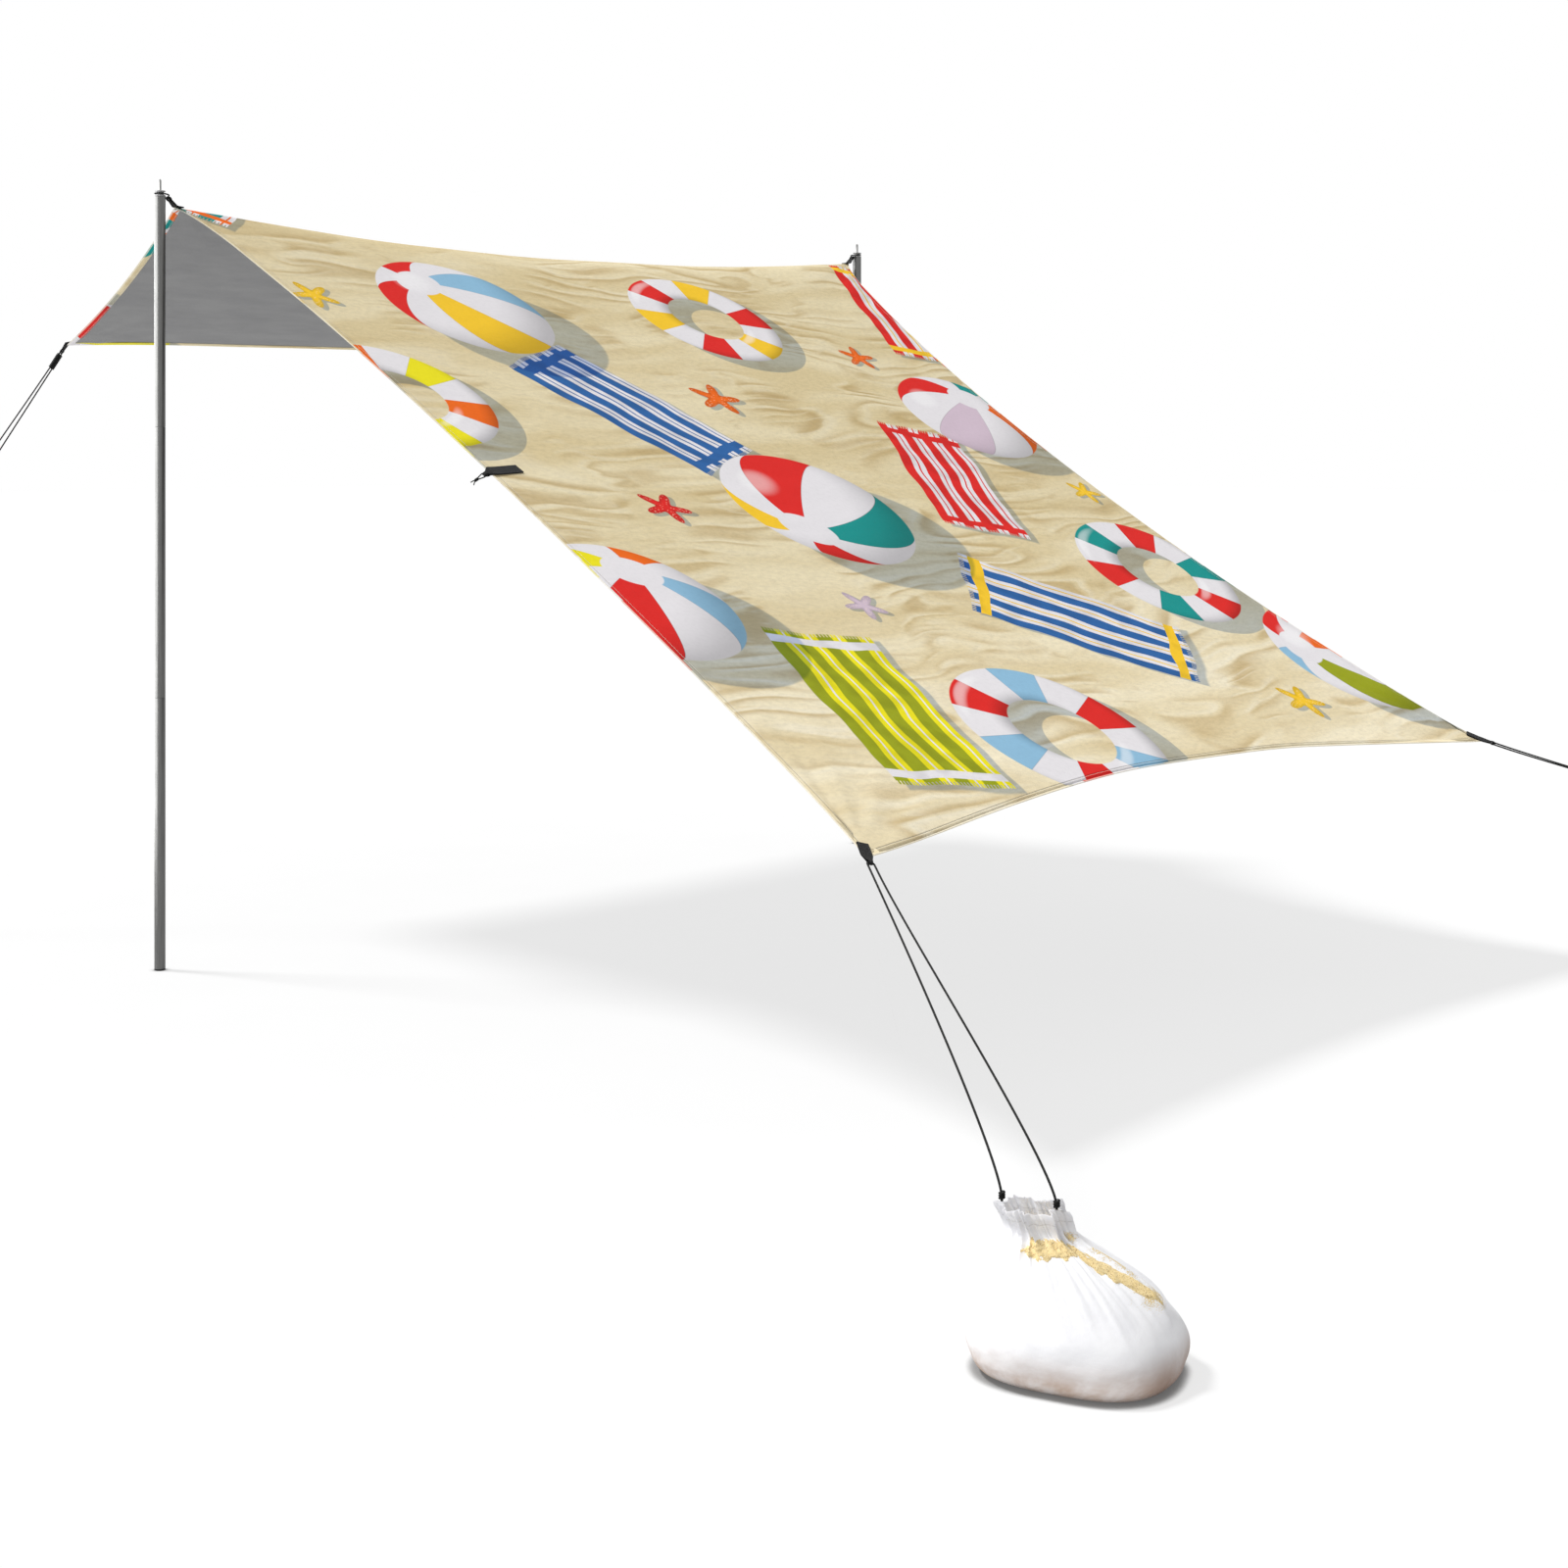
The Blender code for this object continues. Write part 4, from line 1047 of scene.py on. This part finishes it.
def drawn_metal(name, pale, dark, roughness):
    """Bare drawn metal: faint lines along the tube, a few longer scratches, softly smudged."""
    material, tree, inputs = new_material(name, roughness, 1.0)
    place = object_place(tree)
    lines = clouds(place * (1.0, 1.0, 0.01), 1400.0, 3.0, 0.6)
    smudge = clouds(place * (1.0, 1.0, 0.3), 24.0, 4.0, 0.6)
    scratch = clouds(place * (1.0, 1.0, 0.05), 260.0, 1.0)
    feed(inputs["Base Color"], blended(fade(lines, 0.3, 0.7), dark, pale))
    worn = fade(scratch, 0.66, 0.72, 0.0, 0.14)
    feed(inputs["Roughness"], fade(smudge, 0.3, 0.7, roughness - 0.06, roughness + 0.08) + worn)
    feed(inputs["Normal"], bumped(lines, 0.00003))
    return material


def moulded(name, pale, dark, roughness):
    """Injection-moulded plastic with a fine, even texture."""
    material, tree, inputs = new_material(name, roughness)
    place = object_place(tree)
    grain = clouds(place, 1500.0)
    feed(inputs["Base Color"], blended(clouds(place, 60.0, 3.0), dark, pale))
    feed(inputs["Roughness"], fade(grain, 0.3, 0.7, roughness - 0.08, roughness + 0.08))
    feed(inputs["Normal"], bumped(grain, 0.00005))
    return material


def shock_cord_cover():
    material, tree, inputs = new_material("shock_cord_cover", 0.7)
    ribs = clouds(object_place(tree) * (1.0, 1.0, 0.4), 1100.0, 1.0)
    feed(inputs["Base Color"], blended(ribs, colour(26, 26, 28), colour(88, 88, 90)))
    feed(inputs["Normal"], bumped(ribs, 0.0002))
    return material


def arc(centre, radius, start, end, steps=5):
    """Points of a rounded edge in an outline, by radius and height."""
    points = []
    for step in range(steps + 1):
        angle = math.radians(mix(start, end, step / steps))
        points.append((centre[0] + radius * math.cos(angle), centre[1] + radius * math.sin(angle)))
    return points


def turned(name, outline, x, material, body, slot, replaced):
    """A piece turned about a pole's axis from its closed outline."""
    shape = bmesh.new()
    verts = [shape.verts.new((radius, 0.0, height)) for radius, height in outline]
    edges = [shape.edges.new((verts[i - 1], verts[i])) for i in range(len(verts))]
    bmesh.ops.spin(
        shape, geom=verts + edges, cent=(0.0, 0.0, 0.0), axis=(0.0, 0.0, 1.0), angle=2 * math.pi, steps=72,
        use_merge=True, use_duplicate=False,
    )
    bmesh.ops.remove_doubles(shape, verts=shape.verts, dist=0.00001)
    bmesh.ops.delete(shape, geom=[edge for edge in shape.edges if not edge.link_faces], context="EDGES")
    bmesh.ops.recalc_face_normals(shape, faces=shape.faces)
    bmesh.ops.translate(shape, verts=shape.verts, vec=Vector((x, 0.0, 0.0)) + ridge_middle)
    add_piece(name, shape, material, body, slot, replaced, sharp=40)


def tube_outline(outer, inner, low, high):
    """A tube's wall, with its four edges broken."""
    edge = 0.0007
    return (
        arc((outer - edge, low + edge), edge, -90, 0, 4)
        + arc((outer - edge, high - edge), edge, 0, 90, 4)
        + arc((inner + edge / 2, high - edge / 2), edge / 2, 90, 180, 3)
        + arc((inner + edge / 2, low + edge / 2), edge / 2, 180, 270, 3)
    )


# The tubes' metal is painted dark grey, a painted dark reflection: the white surroundings it mirrors read
# dark on it.
tube_metal = drawn_metal("drawn_aluminium", colour(112, 112, 111), colour(92, 92, 91), 0.34)
ferrule_metal = drawn_metal("ferrule_aluminium", colour(150, 151, 154), colour(124, 125, 128), 0.32)
spike_metal = drawn_metal("spike_steel", colour(150, 150, 149), colour(128, 128, 127), 0.28)
cap_plastic = moulded("grey_cap_plastic", colour(138, 138, 138), colour(124, 124, 125), 0.45)
foot_plastic = moulded("black_foot_plastic", colour(34, 34, 35), colour(24, 24, 25), 0.55)
shock_cover = shock_cord_cover()

groove_floor = pole_height - cap_head - cap_groove
groove_roof = pole_height - cap_head
spike_radius, spike_height, spike_seat = 0.00375, 0.03, 0.018
rounded, lip, fillet = 0.0012, 0.0004, 0.0008
ferrule_wall, ferrule_reach, cord_end = 0.0015, 0.05, 0.0019
tubes = (
    ("upper", "top", upper_joint, groove_floor - cap_head),
    ("middle", "middle", lower_joint, upper_joint - fit_gap),
    ("lower", "bottom", foot_thickness, lower_joint - fit_gap),
)
bore, seat = spike_radius + fit_gap, pole_height - spike_seat - fit_gap
collar = groove_floor - cap_head + fit_gap
plug_end = groove_floor - plug_length
cap = [(0.0, seat), (bore, seat), (bore, pole_height)]
cap += arc((tube_radius - rounded, pole_height - rounded), rounded, 90, 0)
cap += arc((tube_radius - lip, groove_roof + lip), lip, 0, -90, 3)
cap += arc((neck_radius + fillet, groove_roof - fillet), fillet, 90, 180, 3)
cap += arc((neck_radius + fillet, groove_floor + fillet), fillet, 180, 270, 3)
cap += arc((tube_radius - lip, groove_floor - lip), lip, 90, 0, 3)
cap += [(tube_radius, collar), (plug_radius, collar), (plug_radius, plug_end + 0.001)]
cap += [(plug_radius - 0.001, plug_end), (0.0, plug_end)]
top = pole_height + spike_height
pin = [(0.0, pole_height - spike_seat)]
pin += arc((spike_radius - 0.0003, pole_height - spike_seat + 0.0003), 0.0003, -90, 0, 2)
pin += [(spike_radius, top - 0.0042), (spike_radius - 0.0006, top - 0.0026)]
pin += arc((0.0, top - 0.0024), 0.0024, 20, 90, 6)
foot = [(0.0, 0.0)] + arc((tube_radius - 0.0014, 0.0014), 0.0014, -90, 0)
foot += arc((tube_radius - lip, foot_thickness - fit_gap - lip), lip, 0, 90, 3)
foot += [(plug_radius, foot_thickness - fit_gap), (plug_radius, plug_length - 0.0012)]
foot += [(plug_radius - 0.0012, plug_length), (0.0, plug_length)]
low, high = plug_length + fit_gap, plug_end - fit_gap
inner_cord = [(0.0, low)] + arc((cord_end, low + 0.0006), 0.0006, -90, 0, 2)
inner_cord += arc((cord_end, high - 0.0006), 0.0006, 0, 90, 2) + [(0.0, high)]
for side, sign in sides:
    x = sign * pole_spacing / 2
    pole = f"{side}_pole"
    for part, section, low, high in tubes:
        outline = tube_outline(tube_radius, tube_radius - tube_wall, low, high)
        tube = f"{side}_{part}_tube", outline, x, tube_metal, f"{pole}_{section}"
        turned(*tube, "pole_tube", f"{pole}_{part}_tube")
    for part, section, joint in (("upper", "top", upper_joint), ("lower", "middle", lower_joint)):
        ends = joint - ferrule_reach, joint + ferrule_reach
        outline = tube_outline(plug_radius, plug_radius - ferrule_wall, *ends)
        ferrule = f"{side}_{part}_joint_ferrule", outline, x, ferrule_metal, f"{pole}_{section}"
        turned(*ferrule, "ferrule", f"{side}_{part}_ferrule")
    for name, outline, material, section, slot, replaced in (
        ("top_cap", cap, cap_plastic, "top", "pole_cap", f"{pole}_cap"),
        ("top_spike", pin, spike_metal, "top", "spike", f"{pole}_spike"),
        ("foot_plug", foot, foot_plastic, "bottom", "foot_plug", f"{pole}_foot"),
        ("inner_cord", inner_cord, shock_cover, "top", "shock_cord", f"{side}_shock_cord"),
    ):
        turned(f"{side}_{name}", outline, x, material, f"{pole}_{section}", slot, replaced)


# Sandbags
# Soft white pouches filled with dry sand. The neck is gathered, the hem above it is a channel that the
# guy runs through, and the filling holds the cloth in broad folds that fan out below the neck.

# The bag's width at each share of its height, as a share of its widest
bag_levels = (
    (0.0, 0.84), (0.02, 0.9), (0.07, 0.96), (0.15, 0.995), (0.24, 1.0), (0.36, 0.965), (0.47, 0.89),
    (0.57, 0.78), (0.66, 0.645), (0.73, 0.51), (0.785, 0.385), (0.825, 0.31), (0.86, 0.275), (0.92, 0.28),
    (1.0, 0.29),
)
bag_columns, bag_rows, bottom_rows = 336, 118, 14
bag_neck, bag_wall, floor_gap = 0.86, 0.0009, 0.0006
gather_height, lump_height, frill_height, channel_height = 0.0034, 0.01, 0.0038, 0.0016


def level_share(up):
    """The bag's width at a height, on a smooth line through its levels."""
    for i in range(len(bag_levels) - 1):
        if up <= bag_levels[i + 1][0]:
            break
    a, b, c, d = (bag_levels[min(max(i + k, 0), len(bag_levels) - 1)] for k in (-1, 0, 1, 2))
    long = c[0] - b[0]
    t = (up - b[0]) / long
    first = (c[1] - a[1]) / max(c[0] - a[0], 0.001) * long
    second = (d[1] - b[1]) / max(d[0] - b[0], 0.001) * long
    between = b[1] * (2 * t**3 - 3 * t**2 + 1) + c[1] * (3 * t**2 - 2 * t**3)
    return between + first * (t**3 - 2 * t**2 + t) + second * (t**3 - t**2)


def bag_folds(seed):
    """Each fold of one bag: its direction from the neck, its width, its height and how far down it runs."""
    chance = random.Random(seed)
    folds = []
    for number in range(60):
        start, stop, longest, highest = 0.0, 2 * math.pi, 0.7, 1.0
        if number % 4 == 0:
            start, stop, longest, highest = 3.1, 4.7, 0.8, 1.5
        folds.append((
            chance.uniform(start, stop), chance.uniform(0.03, 0.09), chance.uniform(0.3, highest),
            chance.uniform(0.12, longest), chance.uniform(-0.2, 0.2),
        ))
    return folds


def fold_lift(folds, turn, up):
    """How far the folds stand out of the bag's skin here, from -1 to 1."""
    total = 0.0
    for middle, wide, high, reach, drift in folds:
        share = (up - bag_neck + reach) / reach
        if share > 0:
            away = (turn - middle - drift * (1 - share) + math.pi) % (2 * math.pi) - math.pi
            width = wide * (0.7 + 1.5 * max(1 - share, 0.0))
            if abs(away) < 3 * width:
                total += high * min(share, 1.0) ** 0.8 * math.exp(-((away / width) ** 2))
    return total - 1.1 * clamped((up - 0.2) / 0.6)


def gathers(shift, turn, up):
    """How far the small pleats that run down from the neck stand out of the bag's skin."""
    pleat = noise.noise(Vector((math.cos(turn) * 8.6, math.sin(turn) * 8.6, up * 1.7 + 5 * shift)))
    pleat += 0.4 * noise.noise(Vector((math.cos(turn) * 19, math.sin(turn) * 19, up * 2.6 + 5 * shift)))
    share = clamped((up - 0.3) / 0.4) * min((1.06 - up) / 0.12, 1.0)
    return gather_height * share * clamped(0.5 + 1.3 * pleat)


def bag_spot(shift, folds, turn, up, inset=0.0):
    """A point of a bag's skin in its own frame, leaning along its heading."""
    out = level_share(up)
    lump_place = Vector((math.cos(turn) * 1.3, math.sin(turn) * 1.3, up * 2.2 + shift))
    small_place = Vector((math.cos(turn) * 3.4, math.sin(turn) * 3.4, up * 6 + shift))
    lump = noise.noise(lump_place) * lump_height + noise.noise(small_place) * 0.0022
    body = min(up / 0.12, 1.0) * clamped((0.98 - up) / 0.3)
    neck = math.exp(-(((up - bag_neck) / (0.2 if up < bag_neck else 0.09)) ** 2))
    fold = fold_lift(folds, turn, min(up, bag_neck)) * mix(0.0072, 0.007, neck) * min(up / 0.1, 1.0)
    frill = clamped((up - 0.84) / 0.16)
    waves = math.sin(8 * turn + 2.1 * shift) + 0.6 * math.sin(13 * turn + shift)
    channel = math.exp(-(((up - 0.972) / 0.02) ** 2)) * channel_height
    push = lump * body + fold + frill * waves * frill_height + channel - inset
    rise = bag_height * up + frill * 0.003 * math.sin(5 * turn + shift)
    square = 1 - 0.05 * math.cos(4 * turn) * max(0.0, 1 - up / 0.5)
    x = (bag_length / 2 * out + push) * math.cos(turn) * square + bag_lean * up**1.5
    return Vector((x, (bag_width / 2 * out + push) * math.sin(turn) * square, rise))


def bag_cotton():
    """Thin white cloth, dusty with sand where it was filled, a little dirty low down, and painted darker low
    down and on one side as shade.
    """
    material, tree, inputs = new_material("white_bag_cloth", 0.86, specular=0.2)
    inputs["Sheen Weight"].default_value = 0.1
    cut = flat_place(tree, "Cut")
    turn, up, _ = parts(flat_place(tree, "Guide"))
    broad = clouds(cut, 14.0, 4.0, 0.6)
    tone = blended(fade(broad, 0.35, 0.7), colour(250, 250, 252), colour(243, 243, 246))
    # Darker towards the bottom all round: a little dirt, and a painted shade where the bag meets the floor.
    low_dirt_and_shade = fade(up, 0.32, 0.02) * fade(broad, 0.35, 0.65, 0.4, 1.0)
    tone = blended(low_dirt_and_shade, tone, colour(188, 160, 138))
    # Darker still low on one side: a painted shade on the bag's shaded side.
    painted_side_shade = fade(turn, 0.33, 0.45) * fade(turn, 0.72, 0.6) * fade(up, 0.34, 0.04, 0.0, 0.9)
    tone = blended(painted_side_shade, tone, colour(132, 106, 92))
    side = fade(turn, 0.42, 0.5) * fade(turn, 0.6, 0.53)
    run = fade(up, 0.4, 0.55) * fade(up, 0.9, 0.84)
    streak = side * run * fade(broad, 0.38, 0.58)
    grit = clouds(cut, 620.0, 2.0, 0.7)
    specks = fade(calc("MULTIPLY_ADD", streak, 0.34, grit), 0.7, 0.78)
    tone = blended(specks, tone, colour(236, 210, 150))
    dash = calc("LESS_THAN", calc("FRACT", parts(cut)[0] / 0.003), 0.66)
    stitch = calc("COMPARE", up, 0.935, 0.0025) * dash
    feed(inputs["Base Color"], blended(stitch, tone, colour(205, 203, 200)))
    soft = bumped(clouds(cut, 60.0, 4.0, 0.6) + stitch * -0.3, 0.0007)
    rough = bumped(placed(threads, cut, 0.0005) * 0.6 + clouds(cut, 1100.0), 0.0001, soft)
    feed(inputs["Normal"], bumped(specks, 0.0004, rough))
    surface = Value(tree.nodes["Principled BSDF"])
    sheerness = (("Translucent", colour(236, 236, 238), fade(up, bag_neck, 0.94, 0.06, 0.4)),
                 ("Transparent", (1.0, 1.0, 1.0, 1.0), fade(up, bag_neck, 0.92, 0.0, 0.16)))
    for kind, tint, share in sheerness:
        thin = Value(node(tree, f"Bsdf{kind}", {"Color": tint}))
        surface = Value(node(tree, "MixShader", {0: share, 1: surface, 2: thin}))
    feed(tree.nodes["Material Output"].inputs["Surface"], surface)
    return material


def dry_sand():
    material, tree, inputs = new_material("dry_sand", 0.95)
    place = object_place(tree)
    grains = cells(place, 950.0)
    tint = parts(Value(grains, "Color"))[0]
    tone = blended(fade(tint, 0.0, 1.0), colour(230, 202, 140), colour(250, 232, 184))
    tone = blended(calc("GREATER_THAN", tint, 0.93), tone, colour(150, 112, 72))
    clumps = clouds(place, 60.0, 3.0)
    feed(inputs["Base Color"], blended(fade(clumps, 0.3, 0.7, 0.0, 0.4), tone, colour(238, 212, 152)))
    feed(inputs["Normal"], bumped(Value(grains, "Distance"), 0.0006, bumped(clumps, 0.003)))
    return material


def skin_level(row):
    """The bag's height share at a grid row; the first rows close its flat bottom."""
    return clamped((row - bottom_rows) / (bag_rows - bottom_rows))


def skin_cut(column, row):
    turn = column / bag_columns
    if row < bottom_rows:
        share, angle = row / bottom_rows, 2 * math.pi * turn
        return 0.12 * share * math.cos(angle), 0.12 * share * math.sin(angle) - 0.2
    up = skin_level(row)
    return turn * mix(0.94, 0.5, up), up * 0.26


bag_cloth, sand = bag_cotton(), dry_sand()
fill_columns, fill_rows, fill_floor_rows, fill_side_rows = 96, 52, 4, 44
fill_low, fill_high, fill_floor, fill_inset, fill_crown = 0.02, 0.81, 0.004, 0.0035, 0.008
spill_columns, spill_rows, spill_depth, spill_crust = 28, 48, 0.0022, 0.001
# Sand spilled on each bag, as strips: each one's two ends and its half widths, in degrees and height shares
spills = (((78, 0.8), (158, 0.8), (6, 0.055), (6, 0.05)), ((154, 0.81), (192, 0.48), (13, 0.01), (7, 0.01)))
for number, (end, (bag, heading, lean)) in enumerate(bags.items()):
    shift = 3.7 * number
    folds = bag_folds(11 + number)
    stand = Matrix.Translation(bag + ridge_middle) @ Matrix.Rotation(heading, 4, "Z")

    def skin_place(column, row):
        turn = 2 * math.pi * (column % bag_columns) / bag_columns
        if row < bottom_rows:
            rim = bag_spot(shift, folds, turn, 0.0) * (row / bottom_rows)
            return stand @ Vector((rim.x, rim.y, floor_gap))
        up = skin_level(row)
        spot = bag_spot(shift, folds, turn, up, -gathers(shift, turn, up))
        return stand @ Vector((spot.x, spot.y, max(spot.z, floor_gap)))

    skin = shaped_grid(
        bag_columns, bag_rows, skin_place, skin_cut, lambda c, r: (c / bag_columns, skin_level(r))
    )
    bag_piece = add_piece(f"{end}_bag", skin, bag_cloth, "root", "bag_cloth", f"{end}_sand_bag")
    thickened(bag_piece, bag_wall, -1.0)

    def fill_place(column, row):
        turn = 2 * math.pi * (column % fill_columns) / fill_columns
        if row < fill_floor_rows:
            rim = bag_spot(shift, folds, turn, fill_low, fill_floor) * (row / fill_floor_rows)
            return stand @ Vector((rim.x, rim.y, fill_floor))
        if row <= fill_side_rows:
            up = mix(fill_low, fill_high, (row - fill_floor_rows) / (fill_side_rows - fill_floor_rows))
            return stand @ bag_spot(shift, folds, turn, up, fill_inset)
        rim = bag_spot(shift, folds, turn, fill_high, fill_inset)
        middle = Vector((bag_lean * bag_neck**1.5, 0.0, bag_height * bag_neck))
        share = (fill_rows - row) / (fill_rows - fill_side_rows)
        return stand @ (middle.lerp(rim, share) + upward * fill_crown * (1 - share**2))

    filling = shaped_grid(fill_columns, fill_rows, fill_place)
    add_piece(f"{end}_filling", filling, sand, "root", "sand", f"{end}_sand_fill")

    for patch, (start, finish, wide_start, wide_finish) in enumerate(spills):

        def spill_spot(column, row):
            """A spot of spilled sand by turn and height share, and how high it lies on the cloth."""
            along, aside = row / spill_rows, 2 * column / spill_columns - 1
            spot = Vector(start).lerp(Vector(finish), along)
            spot += Vector(wide_start).lerp(Vector(wide_finish), along) * aside
            turn, up = math.radians(spot.x), spot.y
            ragged = noise.noise(Vector((turn * 7, up * 26, shift + patch)))
            ragged += 0.5 * noise.noise(Vector((turn * 30, up * 90, shift)))
            ends = 1 - abs(2 * along - 1) ** 3
            high = 0.0055 * min(ends, 1 - aside**2) + 0.0045 * ragged - 0.0016
            return turn, up, min(high, 0.004)

        def spill_place(column, row):
            turn, up, high = spill_spot(column, row)
            return stand @ bag_spot(shift, folds, turn, up, -high - gathers(shift, turn, up))

        spill = shaped_grid(
            spill_columns, spill_rows, spill_place, drop=lambda c, r: spill_spot(c, r)[2] < -spill_depth
        )
        spilled = add_piece(f"{end}_spill_{patch + 1}", spill, sand, "root", "sand")
        thickened(spilled, spill_crust, -1.0)


# Studio
# A pale floor without an edge, a broad soft light nearly overhead, and three soft lights at the left: one
# for the whole tent, one for the poles' metal and one for the bags. The camera stands low in front.


def staged(name, data, place=(0.0, 0.0, 0.0), towards=None):
    """A thing of the studio, turned towards a direction if given."""
    thing = bpy.data.objects.new(name, data)
    thing.location = place
    if towards is not None:
        thing.rotation_euler = Vector(towards).to_track_quat("-Z", "Y").to_euler()
    bpy.context.scene.collection.objects.link(thing)
    return thing


def soft_light(name, place, target, width, height, watts):
    data = bpy.data.lights.new(name, "AREA")
    data.shape = "RECTANGLE"
    data.size, data.size_y, data.energy = width, height, watts
    lamp = staged(name, data, place, Vector(target) - Vector(place))
    lamp.visible_camera = False
    return lamp


floor_shape = bmesh.new()
bmesh.ops.create_grid(floor_shape, x_segments=1, y_segments=1, size=60.0)
floor_mesh = bpy.data.meshes.new("floor")
floor_shape.to_mesh(floor_mesh)
floor_shape.free()
staged("floor", floor_mesh)
floor_paper, tree, inputs = new_material("white_floor", 0.9, specular=0.0)
grey = clouds(object_place(tree), 3.0)
feed(inputs["Base Color"], blended(grey, colour(127, 127, 127), colour(131, 131, 131)))
inputs["Emission Color"].default_value = (1.0, 1.0, 1.0, 1.0)
# The floor's glow dims close to things that stand on it: a painted contact shadow.
near_by = node(tree, "AmbientOcclusion", {"Distance": 0.02}, samples=8)
feed(inputs["Emission Strength"], fade(Value(near_by, "AO"), 0.45, 0.97, 0.1, 0.72))
floor_mesh.materials.append(floor_paper)

world = bpy.data.worlds.new("studio")
world.use_nodes = True
bpy.context.scene.world = world
background = world.node_tree.nodes["Background"].inputs
rays = node(world.node_tree, "LightPath")
seen = calc("MAXIMUM", Value(rays, "Is Camera Ray"), Value(rays, "Is Glossy Ray"))
seen = calc("MAXIMUM", seen, Value(rays, "Is Transmission Ray"))
feed(background["Strength"], fade(seen, 0.0, 1.0, 0.5, 1.0))
background["Color"].default_value = (1.0, 1.0, 1.0, 1.0)

sun = bpy.data.lights.new("overhead_key", "SUN")
sun.energy, sun.angle = 3.1, math.radians(10)
staged("overhead_key", sun, (-1.8, 3.0, 6.0), (0.3, -0.55, -1.0))
soft_light("front_softbox", (-7.2, -3.4, 3.4), (-1.6, -1.8, 0.3), 3.0, 3.0, 12.0)
strip = soft_light("pole_softbox", (-2.57, 2.16, 1.2), (-1.62, 1.0, 1.2), 5.2, 3.4, 280.0)
bag_fill = soft_light("bag_softbox", (-5.8, -2.9, 1.1), (-2.03, -2.24, 0.15), 1.6, 1.2, 12.0)
lit_only = (strip, "pole_metal", ("_tube", "_top_")), (bag_fill, "bag_pieces", ("_bag", "_spill_"))
for lamp, title, marks in lit_only:
    lit_pieces = bpy.data.collections.new(title)
    for piece in bpy.context.scene.objects:
        if any(mark in piece.name for mark in marks):
            lit_pieces.objects.link(piece)
    lamp.light_linking.receiver_collection = lit_pieces

camera_data = bpy.data.cameras.new("camera")
camera_data.lens, camera_data.sensor_width, camera_data.shift_y = 53.31, 36.0, -0.2149
camera_data.clip_end = 200.0
camera = staged("camera", camera_data, (-4.787, -4.306, 1.342))
camera.rotation_euler = (math.radians(90), 0.0, math.radians(-45.86))
bpy.context.scene.camera = camera
bpy.context.scene.view_settings.view_transform = "Standard"
